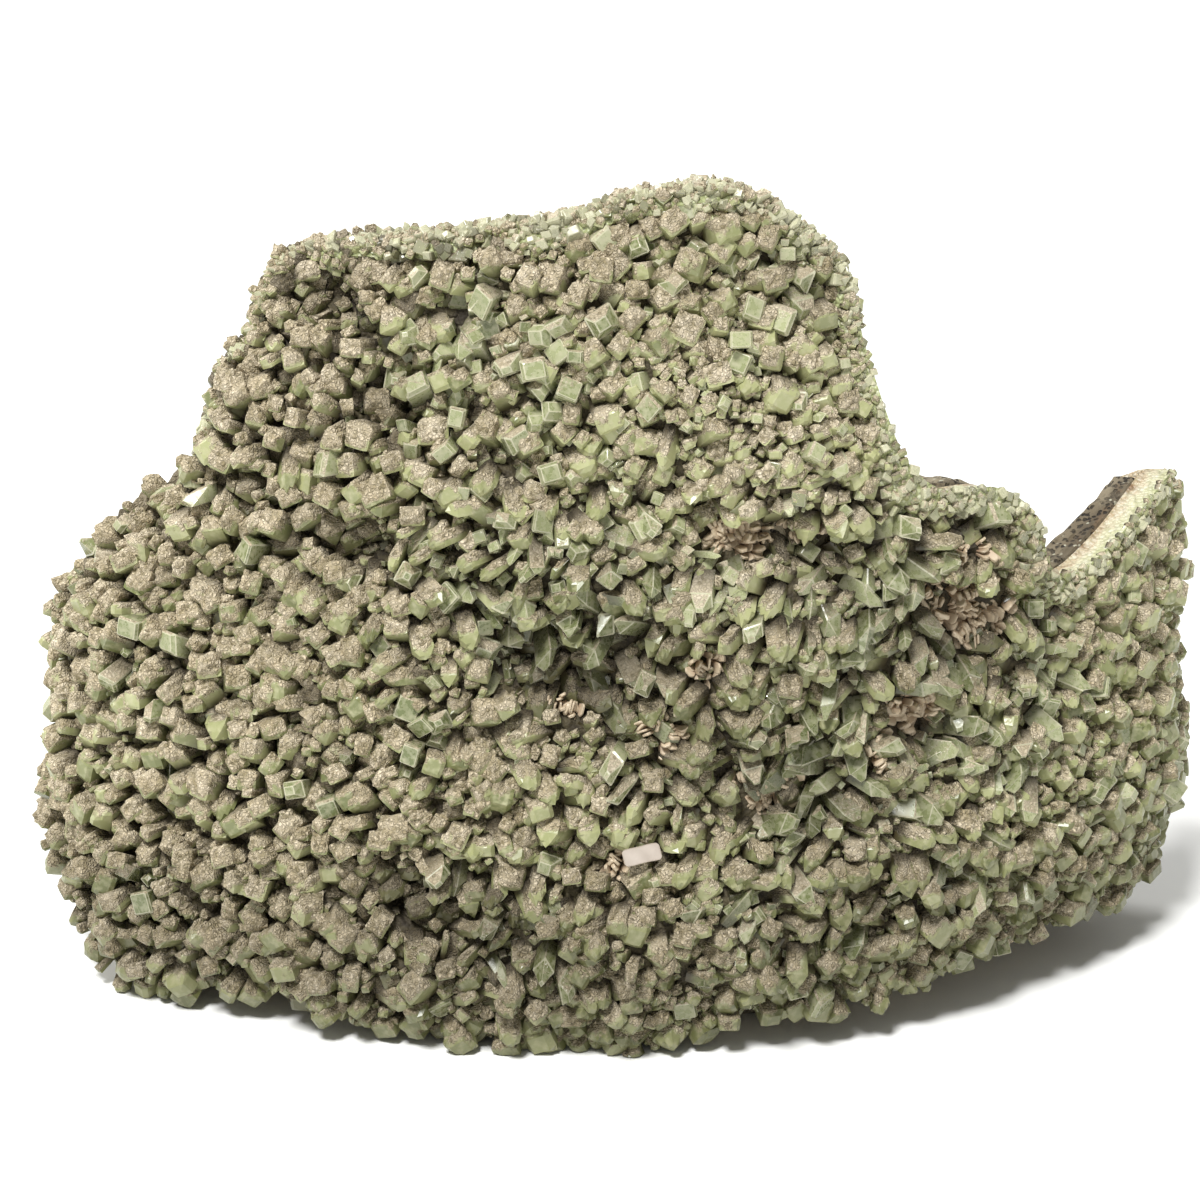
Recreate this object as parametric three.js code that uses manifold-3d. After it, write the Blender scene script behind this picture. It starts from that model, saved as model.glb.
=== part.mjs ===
// A cluster of green apophyllite crystals on a bent slab of basalt, standing on the slab's lower edge.
// Millimetres, +Z up, -Y towards the viewer. The origin is on the floor, under the middle of the cluster.
//
// The slab is drawn unrolled, as a sheet of s (distance along its bend) by z (height), and is then
// bent round in plan. Depth is counted inwards from the crystal tips.
import * as THREE from "three";
import { ConvexGeometry } from "three/addons/geometries/ConvexGeometry.js";
import { mergeVertices } from "three/addons/utils/BufferGeometryUtils.js";
import Module from "manifold-3d";

const wasm = await Module();
wasm.setup();

// Driving dimensions
const HEIGHT = 358; // floor to the highest crystal tips
const LEAN_BACK = 70; // the top of the face lies this far behind its foot
const LEAN_POWER = 1.3;
const MIDDLE_X = 3.4; // middle of the width, from where the bend crosses x = 0 below
const MIDDLE_Y = 97.6; // middle of the depth, measured from the foremost tips
const CRUST = 20; // crystal tips to basalt
const CRYSTAL_HEIGHT = 11; // crystal tips to the gaps between them
const CRYSTAL_STEP = 15.6; // spacing of the crystals
const ROWS_TURN = -32; // the crystals stand in rows that run down to the right
const POINTED_SHARE = 0.74; // the other crystals have a blunt tip
const BASALT_STEP = 27; // size of the basalt's facets
const WRAP_DEPTH = 36; // how far back the crust reaches round the slab's edges
const WRAP_THICKNESS = 12; // crust on the slab's edges
const EDGE_SWELL = 4.3; // the crystals reach this far past the drawn outline
const BARE_LEDGE = 2; // beside the notch the basalt stands out past the crust
const GAP = 0.3; // clearance between neighbouring pieces
const BASALT_TOP = 34; // thickness of the basalt at its upper edge
const BASALT_FOOT = 66; // and at its foot
const HEEL = 42; // extra thickness low on the right, where the face is undercut
const UNDERCUT = 2.75; // how far the foot steps back for each millimetre the crust ends above the floor

// The bend in plan, left to right, through the crystal tips at floor level
const BEND = [
  [-275, 178], [-267, 125], [-231, 75], [-163, 34], [-90, 9], [0, 0],
  [82, 6], [144, 28], [194, 64], [241, 109], [274, 164], [288, 227],
];

// The crust's outline on the unrolled sheet, clockwise from the upper left corner
const CRUST_OUTLINE = [
  [-151, 319], [-137, 331], [-112, 335], [-60, 342], [-15, 349], [6, 356], [48, 359],
  [77, 343], [94, 328], [102, 300], [112, 265], [124, 243], [141, 231], [172, 227],
  [191, 213], [202, 189], [220, 181], [249, 190], [279, 203], [299, 208], [314, 190],
  [318, 160], [306, 138], [322, 108], [326, 80], [320, 54], [303, 38], [261, 32],
  [217, 34], [168, 33], [125, 26], [78, 23], [57, 24], [36, 20], [15, 10],
  [-49, 11], [-105, 15], [-161, 20], [-192, 18], [-214, 11], [-238, 14], [-262, 30],
  [-282, 42], [-296, 56], [-288, 98], [-290, 129], [-280, 154], [-266, 175],
  [-237, 202], [-192, 235], [-180, 262], [-172, 281], [-160, 293],
];

// Broad forms of the face: [s, z, half length, half width, turn in degrees, rise]
const FORMS = [
  [35, 278, 85, 30, -27, 9], // the bright shelf that runs down to the right
  [50, 324, 55, 22, -10, -6], // the dip above that shelf
  [72, 221, 42, 13, -14, -13], // hollow under the shelf
  [-28, 170, 34, 16, -30, -12], // hollow in the middle
  [20, 180, 30, 12, -10, -9],
  [155, 176, 34, 17, -35, -11], // hollow beside the notch
  [136, 141, 22, 13, -10, -9],
  [66, 117, 32, 13, -15, -9],
  [-90, 72, 42, 14, -12, -11], // hollow low on the left
  [-4, 90, 30, 15, -5, -8],
  [-111, 217, 26, 11, -8, -9],
  [-166, 236, 18, 9, -10, -8],
  [-95, 273, 26, 12, -30, -9],
  [-125, 316, 24, 12, 20, -8],
  [-20, 218, 90, 17, -32, 6], // ridges between the hollows
  [90, 184, 60, 14, -20, 6],
  [20, 58, 70, 18, 6, 6],
  [150, 84, 60, 18, 4, 5],
  [-215, 52, 60, 24, -8, 5],
  [-215, 156, 50, 20, -15, 4],
];

// Long crystals that stand out: [s, z, length, width, turn of the tip in degrees, how far it lies down]
const LONG_CRYSTALS = [
  [-31, 167, 26, 11, 205, 0.75],
  [-20, 147, 24, 10, 165, 0.7],
  [-43, 142, 22, 11, 335, 0.6],
  [16, 178, 22, 9, 265, 0.6],
  [-20, 211, 23, 10, 200, 0.6],
  [53, 199, 26, 13, 340, 0.5],
  [-41, 183, 23, 12, 215, 0.6],
  [160, 203, 27, 12, 312, 0.75],
  [138, 207, 26, 12, 345, 0.7],
  [110, 198, 26, 12, 325, 0.7],
  [139, 184, 24, 11, 235, 0.7],
  [176, 176, 27, 10, 215, 0.75],
  [158, 156, 30, 13, 210, 0.6],
  [103, 153, 22, 11, 265, 0.5],
  [75, 174, 22, 11, 300, 0.5],
  [48, 128, 28, 12, 285, 0.65],
  [-1, 137, 26, 12, 250, 0.6],
  [-35, 62, 27, 13, 225, 0.6],
  [-88, 98, 22, 11, 320, 0.5],
  [-60, 46, 25, 12, 300, 0.55],
  [96, 67, 24, 11, 300, 0.5],
  [128, 76, 24, 11, 320, 0.5],
];

// Peach stilbite in the hollows, where the green crystals are short: [s, z, half length, half width]
const STILBITE = {
  stilbite_under_shelf: [53, 224, 19, 9],
  stilbite_by_notch: [163, 183, 19, 14],
  stilbite_right: [136, 144, 15, 10],
  stilbite_middle: [65, 117, 14, 9],
};

// The small paper label on the face
const LABEL = { s: 11, z: 93, width: 16, height: 7.4, thickness: 0.5, turn: 14, corner: 1.2 };

const { clamp, degToRad, lerp, smoothstep } = THREE.MathUtils;
const bend = new THREE.SplineCurve(BEND.map(([x, y]) => new THREE.Vector2(x, y)));
bend.arcLengthDivisions = 800;
const BEND_LENGTH = bend.getLength();
const BEND_START = -BEND_LENGTH * shareAtMiddle();

// The share of the bend's length that lies left of x = 0.
function shareAtMiddle() {
  let low = 0;
  let high = 1;
  while (high - low > 1e-7) {
    const middle = (low + high) / 2;
    if (bend.getPointAt(middle).x < 0) low = middle;
    else high = middle;
  }
  return low;
}

// The same number from 0 to 1 each time for the same three integers.
function chance(i, j, k) {
  const n = Math.sin(i * 127.1 + j * 311.7 + k * 74.7) * 43758.5453;
  return n - Math.floor(n);
}

// Smooth lumps from -1 to 1, one about every `size` millimetres.
function lumps(s, z, size, k) {
  const [a, b] = [s / size, z / size];
  const [i, j] = [Math.floor(a), Math.floor(b)];
  const [u, v] = [smoothstep(a - i, 0, 1), smoothstep(b - j, 0, 1)];
  const low = lerp(chance(i, j, k), chance(i + 1, j, k), u);
  const high = lerp(chance(i, j + 1, k), chance(i + 1, j + 1, k), u);
  return 2 * lerp(low, high, v) - 1;
}

// How far the face stands out at (s, z): broad forms and medium lumps.
function rise(s, z) {
  let sum = 2.5 * lumps(s, z, 42, 1);
  for (const [cs, cz, length, width, turn, height] of FORMS) {
    const [c, n] = [Math.cos(degToRad(turn)), Math.sin(degToRad(turn))];
    const along = ((s - cs) * c + (z - cz) * n) / length;
    const across = ((z - cz) * c - (s - cs) * n) / width;
    sum += height * Math.exp(-along * along - across * across);
  }
  return sum;
}

// Where (s, z) lies on the bent sheet: the point, and the directions along it, up it and out of it.
function place(s, z) {
  const share = clamp((s - BEND_START) / BEND_LENGTH, 0, 1);
  const [point, ahead] = [bend.getPointAt(share), bend.getTangentAt(share)];
  const level = Math.max(z, 0) / HEIGHT;
  const lean = LEAN_BACK * level ** LEAN_POWER;
  const slope = ((LEAN_BACK * LEAN_POWER) / HEIGHT) * level ** (LEAN_POWER - 1);
  const along = new THREE.Vector3(ahead.x, ahead.y, 0);
  const up = new THREE.Vector3(0, slope, 1).normalize();
  const out = new THREE.Vector3().crossVectors(along, up).normalize();
  return { point: new THREE.Vector3(point.x - MIDDLE_X, point.y + lean - MIDDLE_Y, z), along, up, out };
}

// The point at (s, z) that lies `depth` under the crystal tips.
function under(s, z, depth) {
  const { point, out } = place(s, z);
  return point.addScaledVector(out, -depth);
}

// A closed outline as a smooth polygon, anticlockwise.
function smoothOutline(points) {
  const path = new THREE.CatmullRomCurve3(
    points.map(([s, z]) => new THREE.Vector3(s, z, 0)), true, "centripetal",
  );
  const even = path.getSpacedPoints(points.length * 5).slice(0, -1).reverse();
  return even.map((p, k) => {
    const [a, b] = [even.at(k - 2), even[(k + 2) % even.length]];
    const out = new THREE.Vector2(b.y - a.y, a.x - b.x).normalize();
    return new THREE.Vector2(p.x, p.y).addScaledVector(out, EDGE_SWELL);
  });
}

// The nearest place on a polygon: how far round it lies, and its distance, above 0 inside.
function nearest(polygon, p) {
  let best = { distance: Infinity };
  let inside = false;
  for (let i = 0; i < polygon.length; i++) {
    const [a, b] = [polygon[i], polygon[(i + 1) % polygon.length]];
    const side = b.clone().sub(a);
    const t = clamp(p.clone().sub(a).dot(side) / side.lengthSq(), 0, 1);
    const distance = a.clone().addScaledVector(side, t).distanceTo(p);
    if (distance < best.distance) best = { distance, round: i + t };
    if (a.y > p.y !== b.y > p.y && p.x < a.x + (side.x * (p.y - a.y)) / side.y) inside = !inside;
  }
  return { ...best, distance: inside ? best.distance : -best.distance };
}

// A grid of four-sided cells that fills an outline, with its outer nodes moved onto the outline.
function panel(polygon, step, turn) {
  const bounds = new THREE.Box2().setFromPoints(polygon);
  const centre = bounds.getCenter(new THREE.Vector2());
  const count = Math.ceil(bounds.min.distanceTo(bounds.max) / step) + 2;
  const nodes = [];
  for (let j = 0; j <= count; j++)
    for (let i = 0; i <= count; i++) {
      const [a, b] = [i - count / 2, j - count / 2];
      const p = new THREE.Vector2(
        step * (a + 0.45 * (chance(i, j, 2) - 0.5)),
        step * (b + 0.45 * (chance(i, j, 3) - 0.5)),
      );
      p.rotateAround(new THREE.Vector2(), degToRad(turn)).add(centre);
      const [across, along] = [lumps(p.x, p.y, 4 * step, 41), lumps(p.x, p.y, 4 * step, 42)];
      p.add(new THREE.Vector2(across, along).multiplyScalar(0.7 * step));
      nodes.push({ p, ...nearest(polygon, p) });
    }
  const cells = [];
  for (let j = 0; j < count; j++)
    for (let i = 0; i < count; i++) {
      const a = j * (count + 1) + i;
      const cell = [a, a + 1, a + count + 2, a + count + 1];
      const distances = cell.map((n) => nodes[n].distance);
      const mean = distances.reduce((sum, d) => sum + d, 0) / 4;
      if (Math.min(...distances) > -0.55 * step && mean > 0.1 * step) cells.push(cell);
    }
  const rim = rimOf(cells);
  const rounds = evenRounds(rim.map((n) => nodes[n].round), polygon.length);
  rim.forEach((n, k) => {
    const round = THREE.MathUtils.euclideanModulo(rounds[k], polygon.length);
    const [a, b] = [polygon[Math.floor(round)], polygon[(Math.floor(round) + 1) % polygon.length]];
    const out = new THREE.Vector2(b.y - a.y, a.x - b.x).normalize();
    nodes[n] = { p: a.clone().lerp(b, round % 1), out, distance: 0 };
  });
  for (let pass = 0; pass < 4; pass++) settle(nodes, cells, rim, step);
  const area = (a, b, c) => nodes[b].p.clone().sub(nodes[a].p).cross(nodes[c].p.clone().sub(nodes[a].p));
  const fullest = cells.map(([a, b, c, d]) => {
    const [one, other] = [Math.min(area(a, b, c), area(a, c, d)), Math.min(area(b, c, d), area(b, d, a))];
    return one > other ? [a, b, c, d] : [b, c, d, a];
  });
  return { nodes, cells: fullest, rim };
}

// Moves the nodes near the rim towards the middle of their neighbours, so that no cell folds over.
function settle(nodes, cells, rim, step) {
  const fixed = new Set(rim);
  const around = new Map();
  for (const cell of cells)
    cell.forEach((n, k) => {
      if (!around.has(n)) around.set(n, []);
      around.get(n).push(nodes[cell[(k + 1) % 4]].p, nodes[cell[(k + 3) % 4]].p);
    });
  for (const [n, near] of around) {
    if (fixed.has(n) || nodes[n].distance > 1.6 * step) continue;
    const middle = near.reduce((sum, p) => sum.add(p), new THREE.Vector2()).divideScalar(near.length);
    nodes[n].p = nodes[n].p.clone().lerp(middle, 0.6);
  }
}

// Places round a loop of `length`, spread so that no two of them meet.
function evenRounds(rounds, length) {
  const half = length / 2;
  const rising = [rounds[0]];
  for (const round of rounds.slice(1)) {
    const last = rising.at(-1);
    rising.push(last + THREE.MathUtils.euclideanModulo(round - last + half, length) - half);
  }
  const count = rising.length;
  const at = (list, k) => list[(k + count) % count] + length * Math.floor(k / count);
  let even = rising;
  for (let pass = 0; pass < 3; pass++)
    even = even.map((r, k) => (at(even, k - 1) + 2 * r + at(even, k + 1)) / 4);
  return even;
}

// The nodes of the cells' outer edge, in order.
function rimOf(cells) {
  const next = new Map();
  const key = (a, b) => `${a},${b}`;
  const edges = new Set(cells.flatMap((c) => c.map((n, k) => key(n, c[(k + 1) % 4]))));
  for (const cell of cells)
    cell.forEach((n, k) => {
      const m = cell[(k + 1) % 4];
      if (edges.has(key(m, n))) return;
      if (next.has(n)) throw new Error("the cells' outer edge meets itself");
      next.set(n, m);
    });
  const rim = [[...next.keys()][0]];
  while (next.get(rim.at(-1)) !== rim[0]) rim.push(next.get(rim.at(-1)));
  if (rim.length !== next.size) throw new Error("the cells' outer edge is not one loop");
  return rim;
}

// A solid from a closed set of triangles, each three points.
function solidFrom(triangles) {
  const geometry = new THREE.BufferGeometry().setFromPoints(triangles.flat());
  return solidOf(geometry);
}

function solidOf(geometry) {
  const bare = geometry.index ? geometry.toNonIndexed() : geometry.clone();
  bare.deleteAttribute("normal");
  bare.deleteAttribute("uv");
  const merged = mergeVertices(bare, 1e-3);
  return new wasm.Manifold(
    new wasm.Mesh({
      numProp: 3,
      vertProperties: merged.attributes.position.array,
      triVerts: new Uint32Array(merged.index.array),
    }),
  );
}

function meshFrom(name, solid, colour, roughness) {
  const { vertProperties, triVerts } = solid.getMesh();
  const geometry = new THREE.BufferGeometry();
  geometry.setAttribute("position", new THREE.BufferAttribute(vertProperties, 3));
  geometry.setIndex(new THREE.BufferAttribute(triVerts, 1));
  const flat = geometry.toNonIndexed();
  flat.computeVertexNormals();
  const mesh = new THREE.Mesh(flat, new THREE.MeshStandardMaterial({ color: colour, roughness, metalness: 0 }));
  mesh.name = name;
  return mesh;
}

const quad = (a, b, c, d) => [[a, b, c], [a, c, d]];
const quadFromBehind = (a, b, c, d) => quad(a, d, c, b);

// 1 where the slab's edge is a bare break, along the notch or under the foot, and 0 elsewhere.
const notchBreak = ({ x: s, y: z }) =>
  smoothstep(s, 104, 116) * (1 - smoothstep(s, 296, 308)) * smoothstep(z, 130, 150);
const footBreak = ({ x: s, y: z }) =>
  (1 - smoothstep(z, 36, 52)) * smoothstep(s, -262, -240) * (1 - smoothstep(s, 296, 318));
const bareness = (p) => Math.max(notchBreak(p), footBreak(p));

// 1 in the middle of the stilbite, where the green crystals are short, and 0 away from it.
function stilbiteAt(s, z) {
  const closest = Object.values(STILBITE).map(([cs, cz, length, width]) =>
    Math.hypot((s - cs) / (length + 5), (z - cz) / (width + 5)));
  return 1 - smoothstep(Math.min(...closest), 0.7, 1.15);
}

// The height of the crust's lower edge over the floor.
function lowerEdge(polygon, s) {
  const crossings = polygon.flatMap((a, k) => {
    const b = polygon[(k + 1) % polygon.length];
    return (a.x - s) * (b.x - s) <= 0 && a.x !== b.x ? [lerp(a.y, b.y, (s - a.x) / (b.x - a.x))] : [];
  });
  return Math.min(...crossings);
}

// The crystal of one cell: four sides that meet in a point, or end in a blunt tip. `at` gives a point
// from (distance across, distance up, height over the gaps); `corners` are the cell's own corners.
function crystalCell(corners, at, width, height, blunt, i, j) {
  const [leanAcross, leanUp] = [0.6 * (chance(i, j, 7) - 0.5), 0.6 * (chance(i, j, 8) - 0.66)];
  const tall = height * (0.66 + 0.34 * chance(i, j, 9));
  const point = at(
    leanAcross * tall + 0.3 * width * (chance(i, j, 13) - 0.5),
    leanUp * tall + 0.3 * width * (chance(i, j, 14) - 0.5),
    tall,
  );
  if (!blunt) return [0, 1, 2, 3].map((k) => [corners[k], corners[(k + 1) % 4], point]);
  const turn = degToRad(45 + 50 * (chance(i, j, 5) - 0.5));
  const half = width * (0.36 + 0.12 * chance(i, j, 6));
  const tip = [0, 1, 2, 3].map((k) => {
    const a = turn + Math.PI + (k * Math.PI) / 2;
    const slant = 0.92 - 0.28 * chance(i + k, j, 10);
    return at(half * Math.cos(a) + leanAcross * tall, half * Math.sin(a) + leanUp * tall, tall * slant);
  });
  const sides = [0, 1, 2, 3].flatMap((k) => {
    const m = (k + 1) % 4;
    return quad(corners[k], corners[m], tip[m], tip[k]);
  });
  return [...sides, ...quad(...tip)];
}

// The crystal-covered body of the crust, its back still filled in.
function crustBody() {
  const { nodes, cells, rim } = panel(smoothOutline(CRUST_OUTLINE), CRYSTAL_STEP, ROWS_TURN);
  const faceDepth = ({ p, distance }) => {
    const round = 6 * (1 - smoothstep(distance, 0, 24));
    return CRYSTAL_HEIGHT + round - 3 * chance(Math.round(p.x), Math.round(p.y), 12);
  };
  const gaps = nodes.map((n) => under(n.p.x, n.p.y, faceDepth(n) - rise(n.p.x, n.p.y)));
  const triangles = cells.flatMap((cell, k) => {
    const centre = cell.reduce((sum, n) => sum.add(nodes[n].p), new THREE.Vector2()).divideScalar(4);
    const { out, along, up } = place(centre.x, centre.y);
    const base = cell.reduce((sum, n) => sum.add(gaps[n]), new THREE.Vector3()).divideScalar(4);
    const at = (across, rising, height) =>
      base.clone().addScaledVector(along, across).addScaledVector(up, rising).addScaledVector(out, height);
    const turned = (across, rising, height) => {
      const v = new THREE.Vector2(across, rising).rotateAround(new THREE.Vector2(), degToRad(ROWS_TURN));
      return at(v.x, v.y, height);
    };
    const [a, b, c, d] = cell.map((n) => nodes[n].p);
    const room = Math.min(CRYSTAL_STEP, a.distanceTo(c) / Math.SQRT2, b.distanceTo(d) / Math.SQRT2);
    const height = CRYSTAL_HEIGHT * (1 - 0.85 * stilbiteAt(centre.x, centre.y));
    return crystalCell(cell.map((n) => gaps[n]), turned, room, height, chance(k, 1, 11) > POINTED_SHARE, k, 1);
  });
  const rings = [0, 1, 2].map((ring) =>
    rim.map((n, k) => {
      const { p, out } = nodes[n];
      const bare = bareness(p);
      if (ring === 0) return gaps[n];
      const ragged = (1 - bare) * 2.5 * (chance(k, ring, 14) - 0.4);
      const depth = lerp([0, 24, WRAP_DEPTH][ring], [0, 21, 26][ring], bare);
      const swell = lerp([0, 2, -2][ring], 0, bare) + ragged;
      return under(p.x + out.x * swell, p.y + out.y * swell, depth);
    }),
  );
  const middle = rim.map((n) => nodes[n].p);
  for (let k = 0; k < rim.length; k++) {
    const m = (k + 1) % rim.length;
    const corners = [rings[0][m], rings[0][k], rings[1][k], rings[1][m]];
    if (bareness(middle[k]) > 0.3 || bareness(middle[m]) > 0.3) triangles.push(...quad(...corners));
    else {
      const centre = corners.reduce((sum, p) => sum.add(p), new THREE.Vector3()).divideScalar(4);
      const along = corners[1].clone().sub(corners[0]).normalize();
      const down = corners[3].clone().sub(corners[0]).normalize();
      const out = new THREE.Vector3().crossVectors(along, down).normalize();
      const up = new THREE.Vector3().crossVectors(out, along);
      const at = (across, rising, height) =>
        centre.clone().addScaledVector(along, across).addScaledVector(up, rising).addScaledVector(out, height);
      const width = Math.min(corners[0].distanceTo(corners[1]), corners[0].distanceTo(corners[3]));
      triangles.push(...crystalCell(corners, at, width * 0.7, width * 0.4, false, k, 2));
    }
    triangles.push(...quad(rings[1][m], rings[1][k], rings[2][k], rings[2][m]));
  }
  const back = new Map(rim.map((n, k) => [n, rings[2][k]]));
  const backOf = (n) => back.get(n) ?? under(nodes[n].p.x, nodes[n].p.y, CRUST + 8);
  for (const cell of cells) triangles.push(...quadFromBehind(...cell.map(backOf)));
  return solidFrom(triangles);
}

// The basalt slab.
function basaltBody() {
  const crust = smoothOutline(CRUST_OUTLINE);
  const outline = crust.map((p, k) => {
    const [a, b] = [crust.at(k - 2), crust[(k + 2) % crust.length]];
    const out = new THREE.Vector2(b.y - a.y, a.x - b.x).normalize();
    const inset = lerp(WRAP_THICKNESS + GAP, -BARE_LEDGE * notchBreak(p) * (1 - smoothstep(p.x, 175, 205)), bareness(p));
    const q = p.clone().addScaledVector(out, -inset);
    q.y = lerp(q.y, -8, footBreak(p));
    return q;
  });
  const { nodes, cells, rim } = panel(outline, BASALT_STEP, 0);
  const recess = ({ x: s, y: z }) => {
    const edge = lowerEdge(crust, clamp(s, -265, 300));
    return Math.max(10, UNDERCUT * edge - CRUST + 6) * (1 - clamp(z / (edge + 2), 0, 1));
  };
  const front = nodes.map(({ p }) => under(p.x, p.y, CRUST + GAP + recess(p) - 0.5 * rise(p.x, p.y)));
  const thickness = ({ p, distance }) => {
    const low = 1 - smoothstep(p.y, 20, 300);
    const tapered = lerp(1, 0.32, smoothstep(p.x, 180, 300) * smoothstep(p.y, 90, 160));
    const rounded = 1 - 0.3 * (1 - smoothstep(distance, 0, 40)) * smoothstep(p.y, 30, 90);
    const heel = HEEL * smoothstep(p.x, 20, 110) * (1 - smoothstep(p.y, 0, 110));
    return lerp(BASALT_TOP, BASALT_FOOT, low) * tapered * rounded + heel + 5 * lumps(p.x, p.y, 37, 20);
  };
  const back = nodes.map((n) => under(n.p.x, n.p.y, CRUST + thickness(n)));
  const triangles = cells.flatMap((cell) => [
    ...quad(...cell.map((n) => front[n])),
    ...quadFromBehind(...cell.map((n) => back[n])),
  ]);
  const waist = rim.map((n, k) => {
    const { p, out } = nodes[n];
    const { along, up } = place(p.x, p.y);
    const bulge = 2 * chance(k, 3, 21) - 0.5;
    return front[n].clone().lerp(back[n], 0.55).addScaledVector(along, out.x * bulge)
      .addScaledVector(up, out.y * bulge);
  });
  for (let k = 0; k < rim.length; k++) {
    const m = (k + 1) % rim.length;
    triangles.push(...quad(front[rim[m]], front[rim[k]], waist[k], waist[m]));
    triangles.push(...quad(waist[m], waist[k], back[rim[k]], back[rim[m]]));
  }
  return solidFrom(triangles);
}

// A long four-sided crystal with a blunt pyramid tip, half sunk in the crust.
function longCrystal([s, z, length, width, turn, lying]) {
  const { along, up, out } = place(s, z);
  const root = under(s, z, 9 - rise(s, z));
  const flat = along.clone().multiplyScalar(Math.cos(degToRad(turn)))
    .addScaledVector(up, Math.sin(degToRad(turn)));
  const axis = flat.multiplyScalar(lying).addScaledVector(out, Math.sqrt(1 - lying * lying));
  const side = new THREE.Vector3().crossVectors(axis, out).normalize();
  const other = new THREE.Vector3().crossVectors(side, axis);
  const rings = [[-0.35, 0.42], [0.3, 0.5], [0.68, 0.42], [0.92, 0.14]];
  const points = rings.flatMap(([reach, half]) =>
    [0, 1, 2, 3].map((k) => {
      const a = Math.PI / 4 + (k * Math.PI) / 2;
      return root.clone()
        .addScaledVector(axis, reach * length)
        .addScaledVector(side, half * width * Math.SQRT2 * Math.cos(a))
        .addScaledVector(other, half * width * Math.SQRT2 * Math.sin(a));
    }),
  );
  return solidOf(new ConvexGeometry(points));
}

// A sheaf of flat stilbite blades that fan out of a low mound, and the pocket in the crust it grew in.
function stilbiteSheaf([s, z, halfLength, halfWidth], k) {
  const { along, up, out } = place(s, z);
  const root = under(s, z, 7 - rise(s, z));
  const at = (across, rising, height) =>
    root.clone().addScaledVector(along, across).addScaledVector(up, rising).addScaledVector(out, height);
  const ring = (scale, height, clearance = 0) =>
    [...Array(7)].map((_, n) => {
      const a = (n * 2 * Math.PI) / 7 + k;
      const [length, width] = [halfLength * scale + clearance, halfWidth * scale + clearance];
      return at(length * Math.cos(a), width * Math.sin(a), height);
    });
  const flare = (height) => 1 + 0.04 * height;
  const pocket = solidOf(new ConvexGeometry([...ring(1, -4 - GAP, 1), ...ring(flare(30), 30, 1)]));
  let sheaf = solidOf(new ConvexGeometry([...ring(1, -4), ...ring(flare(1), 1), ...ring(0.5, 4)]));
  const blades = 6;
  for (let n = 0; n < blades; n++) {
    const a = (n * 2 * Math.PI) / blades + 0.8 * chance(n, k, 30);
    const reach = n % 3 === 0 ? 0.15 : 0.55;
    const [cx, cz] = [halfLength * reach * Math.cos(a), halfWidth * reach * Math.sin(a)];
    const spread = 0.1 + 0.3 * chance(n, k, 32);
    const [dx, dz] = [Math.cos(a) * spread, Math.sin(a) * spread];
    const turn = a + 0.9 * (chance(n, k, 35) - 0.5);
    const [wide, thin, tall] = [0.34 * halfWidth, 1.1, 8 + 3 * chance(n, k, 34)];
    const profile = [[-wide * 0.6, -2], [wide * 0.6, -2], [wide, tall * 0.6], [0, tall], [-wide, tall * 0.6]];
    const points = [-thin, thin].flatMap((t) =>
      profile.map(([w, h]) => at(
        cx - Math.sin(turn) * w + Math.cos(turn) * t + dx * h,
        cz + Math.cos(turn) * w + Math.sin(turn) * t + dz * h,
        h,
      )),
    );
    sheaf = sheaf.add(solidOf(new ConvexGeometry(points)));
  }
  return { sheaf, pocket };
}

// The label: a small card with clipped corners, laid on the crystal tips.
function labelAt(lift) {
  const { width, height, corner, thickness } = LABEL;
  const [w, h] = [width / 2, height / 2];
  const card = new THREE.Shape([
    [-w + corner, -h], [w - corner, -h], [w, -h + corner], [w, h - corner],
    [w - corner, h], [-w + corner, h], [-w, h - corner], [-w, -h + corner],
  ].map(([x, y]) => new THREE.Vector2(x, y)));
  const geometry = new THREE.ExtrudeGeometry(card, { depth: thickness, bevelEnabled: false });
  const { along, up, out } = place(LABEL.s, LABEL.z);
  geometry.rotateZ(degToRad(LABEL.turn));
  const middle = under(LABEL.s, LABEL.z, -lift);
  return solidOf(geometry.applyMatrix4(new THREE.Matrix4().makeBasis(along, up, out).setPosition(middle)));
}

function restLabel(crust) {
  let lift = -20;
  while (crust.intersect(labelAt(lift - GAP)).volume() > 0) lift += 0.25;
  return labelAt(lift);
}

function aboveFloor(solid, height) {
  const size = 1200;
  const floor = new THREE.BoxGeometry(size, size, size).translate(0, 0, height - size / 2);
  return solid.subtract(solidOf(floor));
}

// A copy of a solid with every face moved outwards by at least `by`.
function grown(solid, by) {
  const { vertProperties, triVerts } = solid.getMesh();
  const points = Array.from({ length: vertProperties.length / 3 }, (_, n) =>
    new THREE.Vector3().fromArray(vertProperties, 3 * n));
  const facing = points.map(() => []);
  for (let n = 0; n < triVerts.length; n += 3) {
    const corners = [...triVerts.slice(n, n + 3)];
    const normal = new THREE.Triangle(...corners.map((c) => points[c])).getNormal(new THREE.Vector3());
    for (const c of corners) facing[c].push(normal);
  }
  const moved = points.map((p, n) => {
    const out = facing[n].reduce((sum, v) => sum.add(v), new THREE.Vector3()).normalize();
    const worst = () => facing[n].reduce((w, v) => (v.dot(out) < w.dot(out) ? v : w));
    for (let pass = 0; pass < 12; pass++) out.addScaledVector(worst(), 0.25).normalize();
    return p.clone().addScaledVector(out, by / Math.max(worst().dot(out), 0.15));
  });
  const geometry = new THREE.BufferGeometry().setFromPoints(moved);
  geometry.setIndex(new THREE.BufferAttribute(triVerts, 1));
  return solidOf(geometry);
}

// The largest piece of a solid, without the crumbs a cut leaves.
function largest(solid) {
  return solid.decompose().reduce((best, piece) => (piece.volume() > best.volume() ? piece : best));
}

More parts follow.
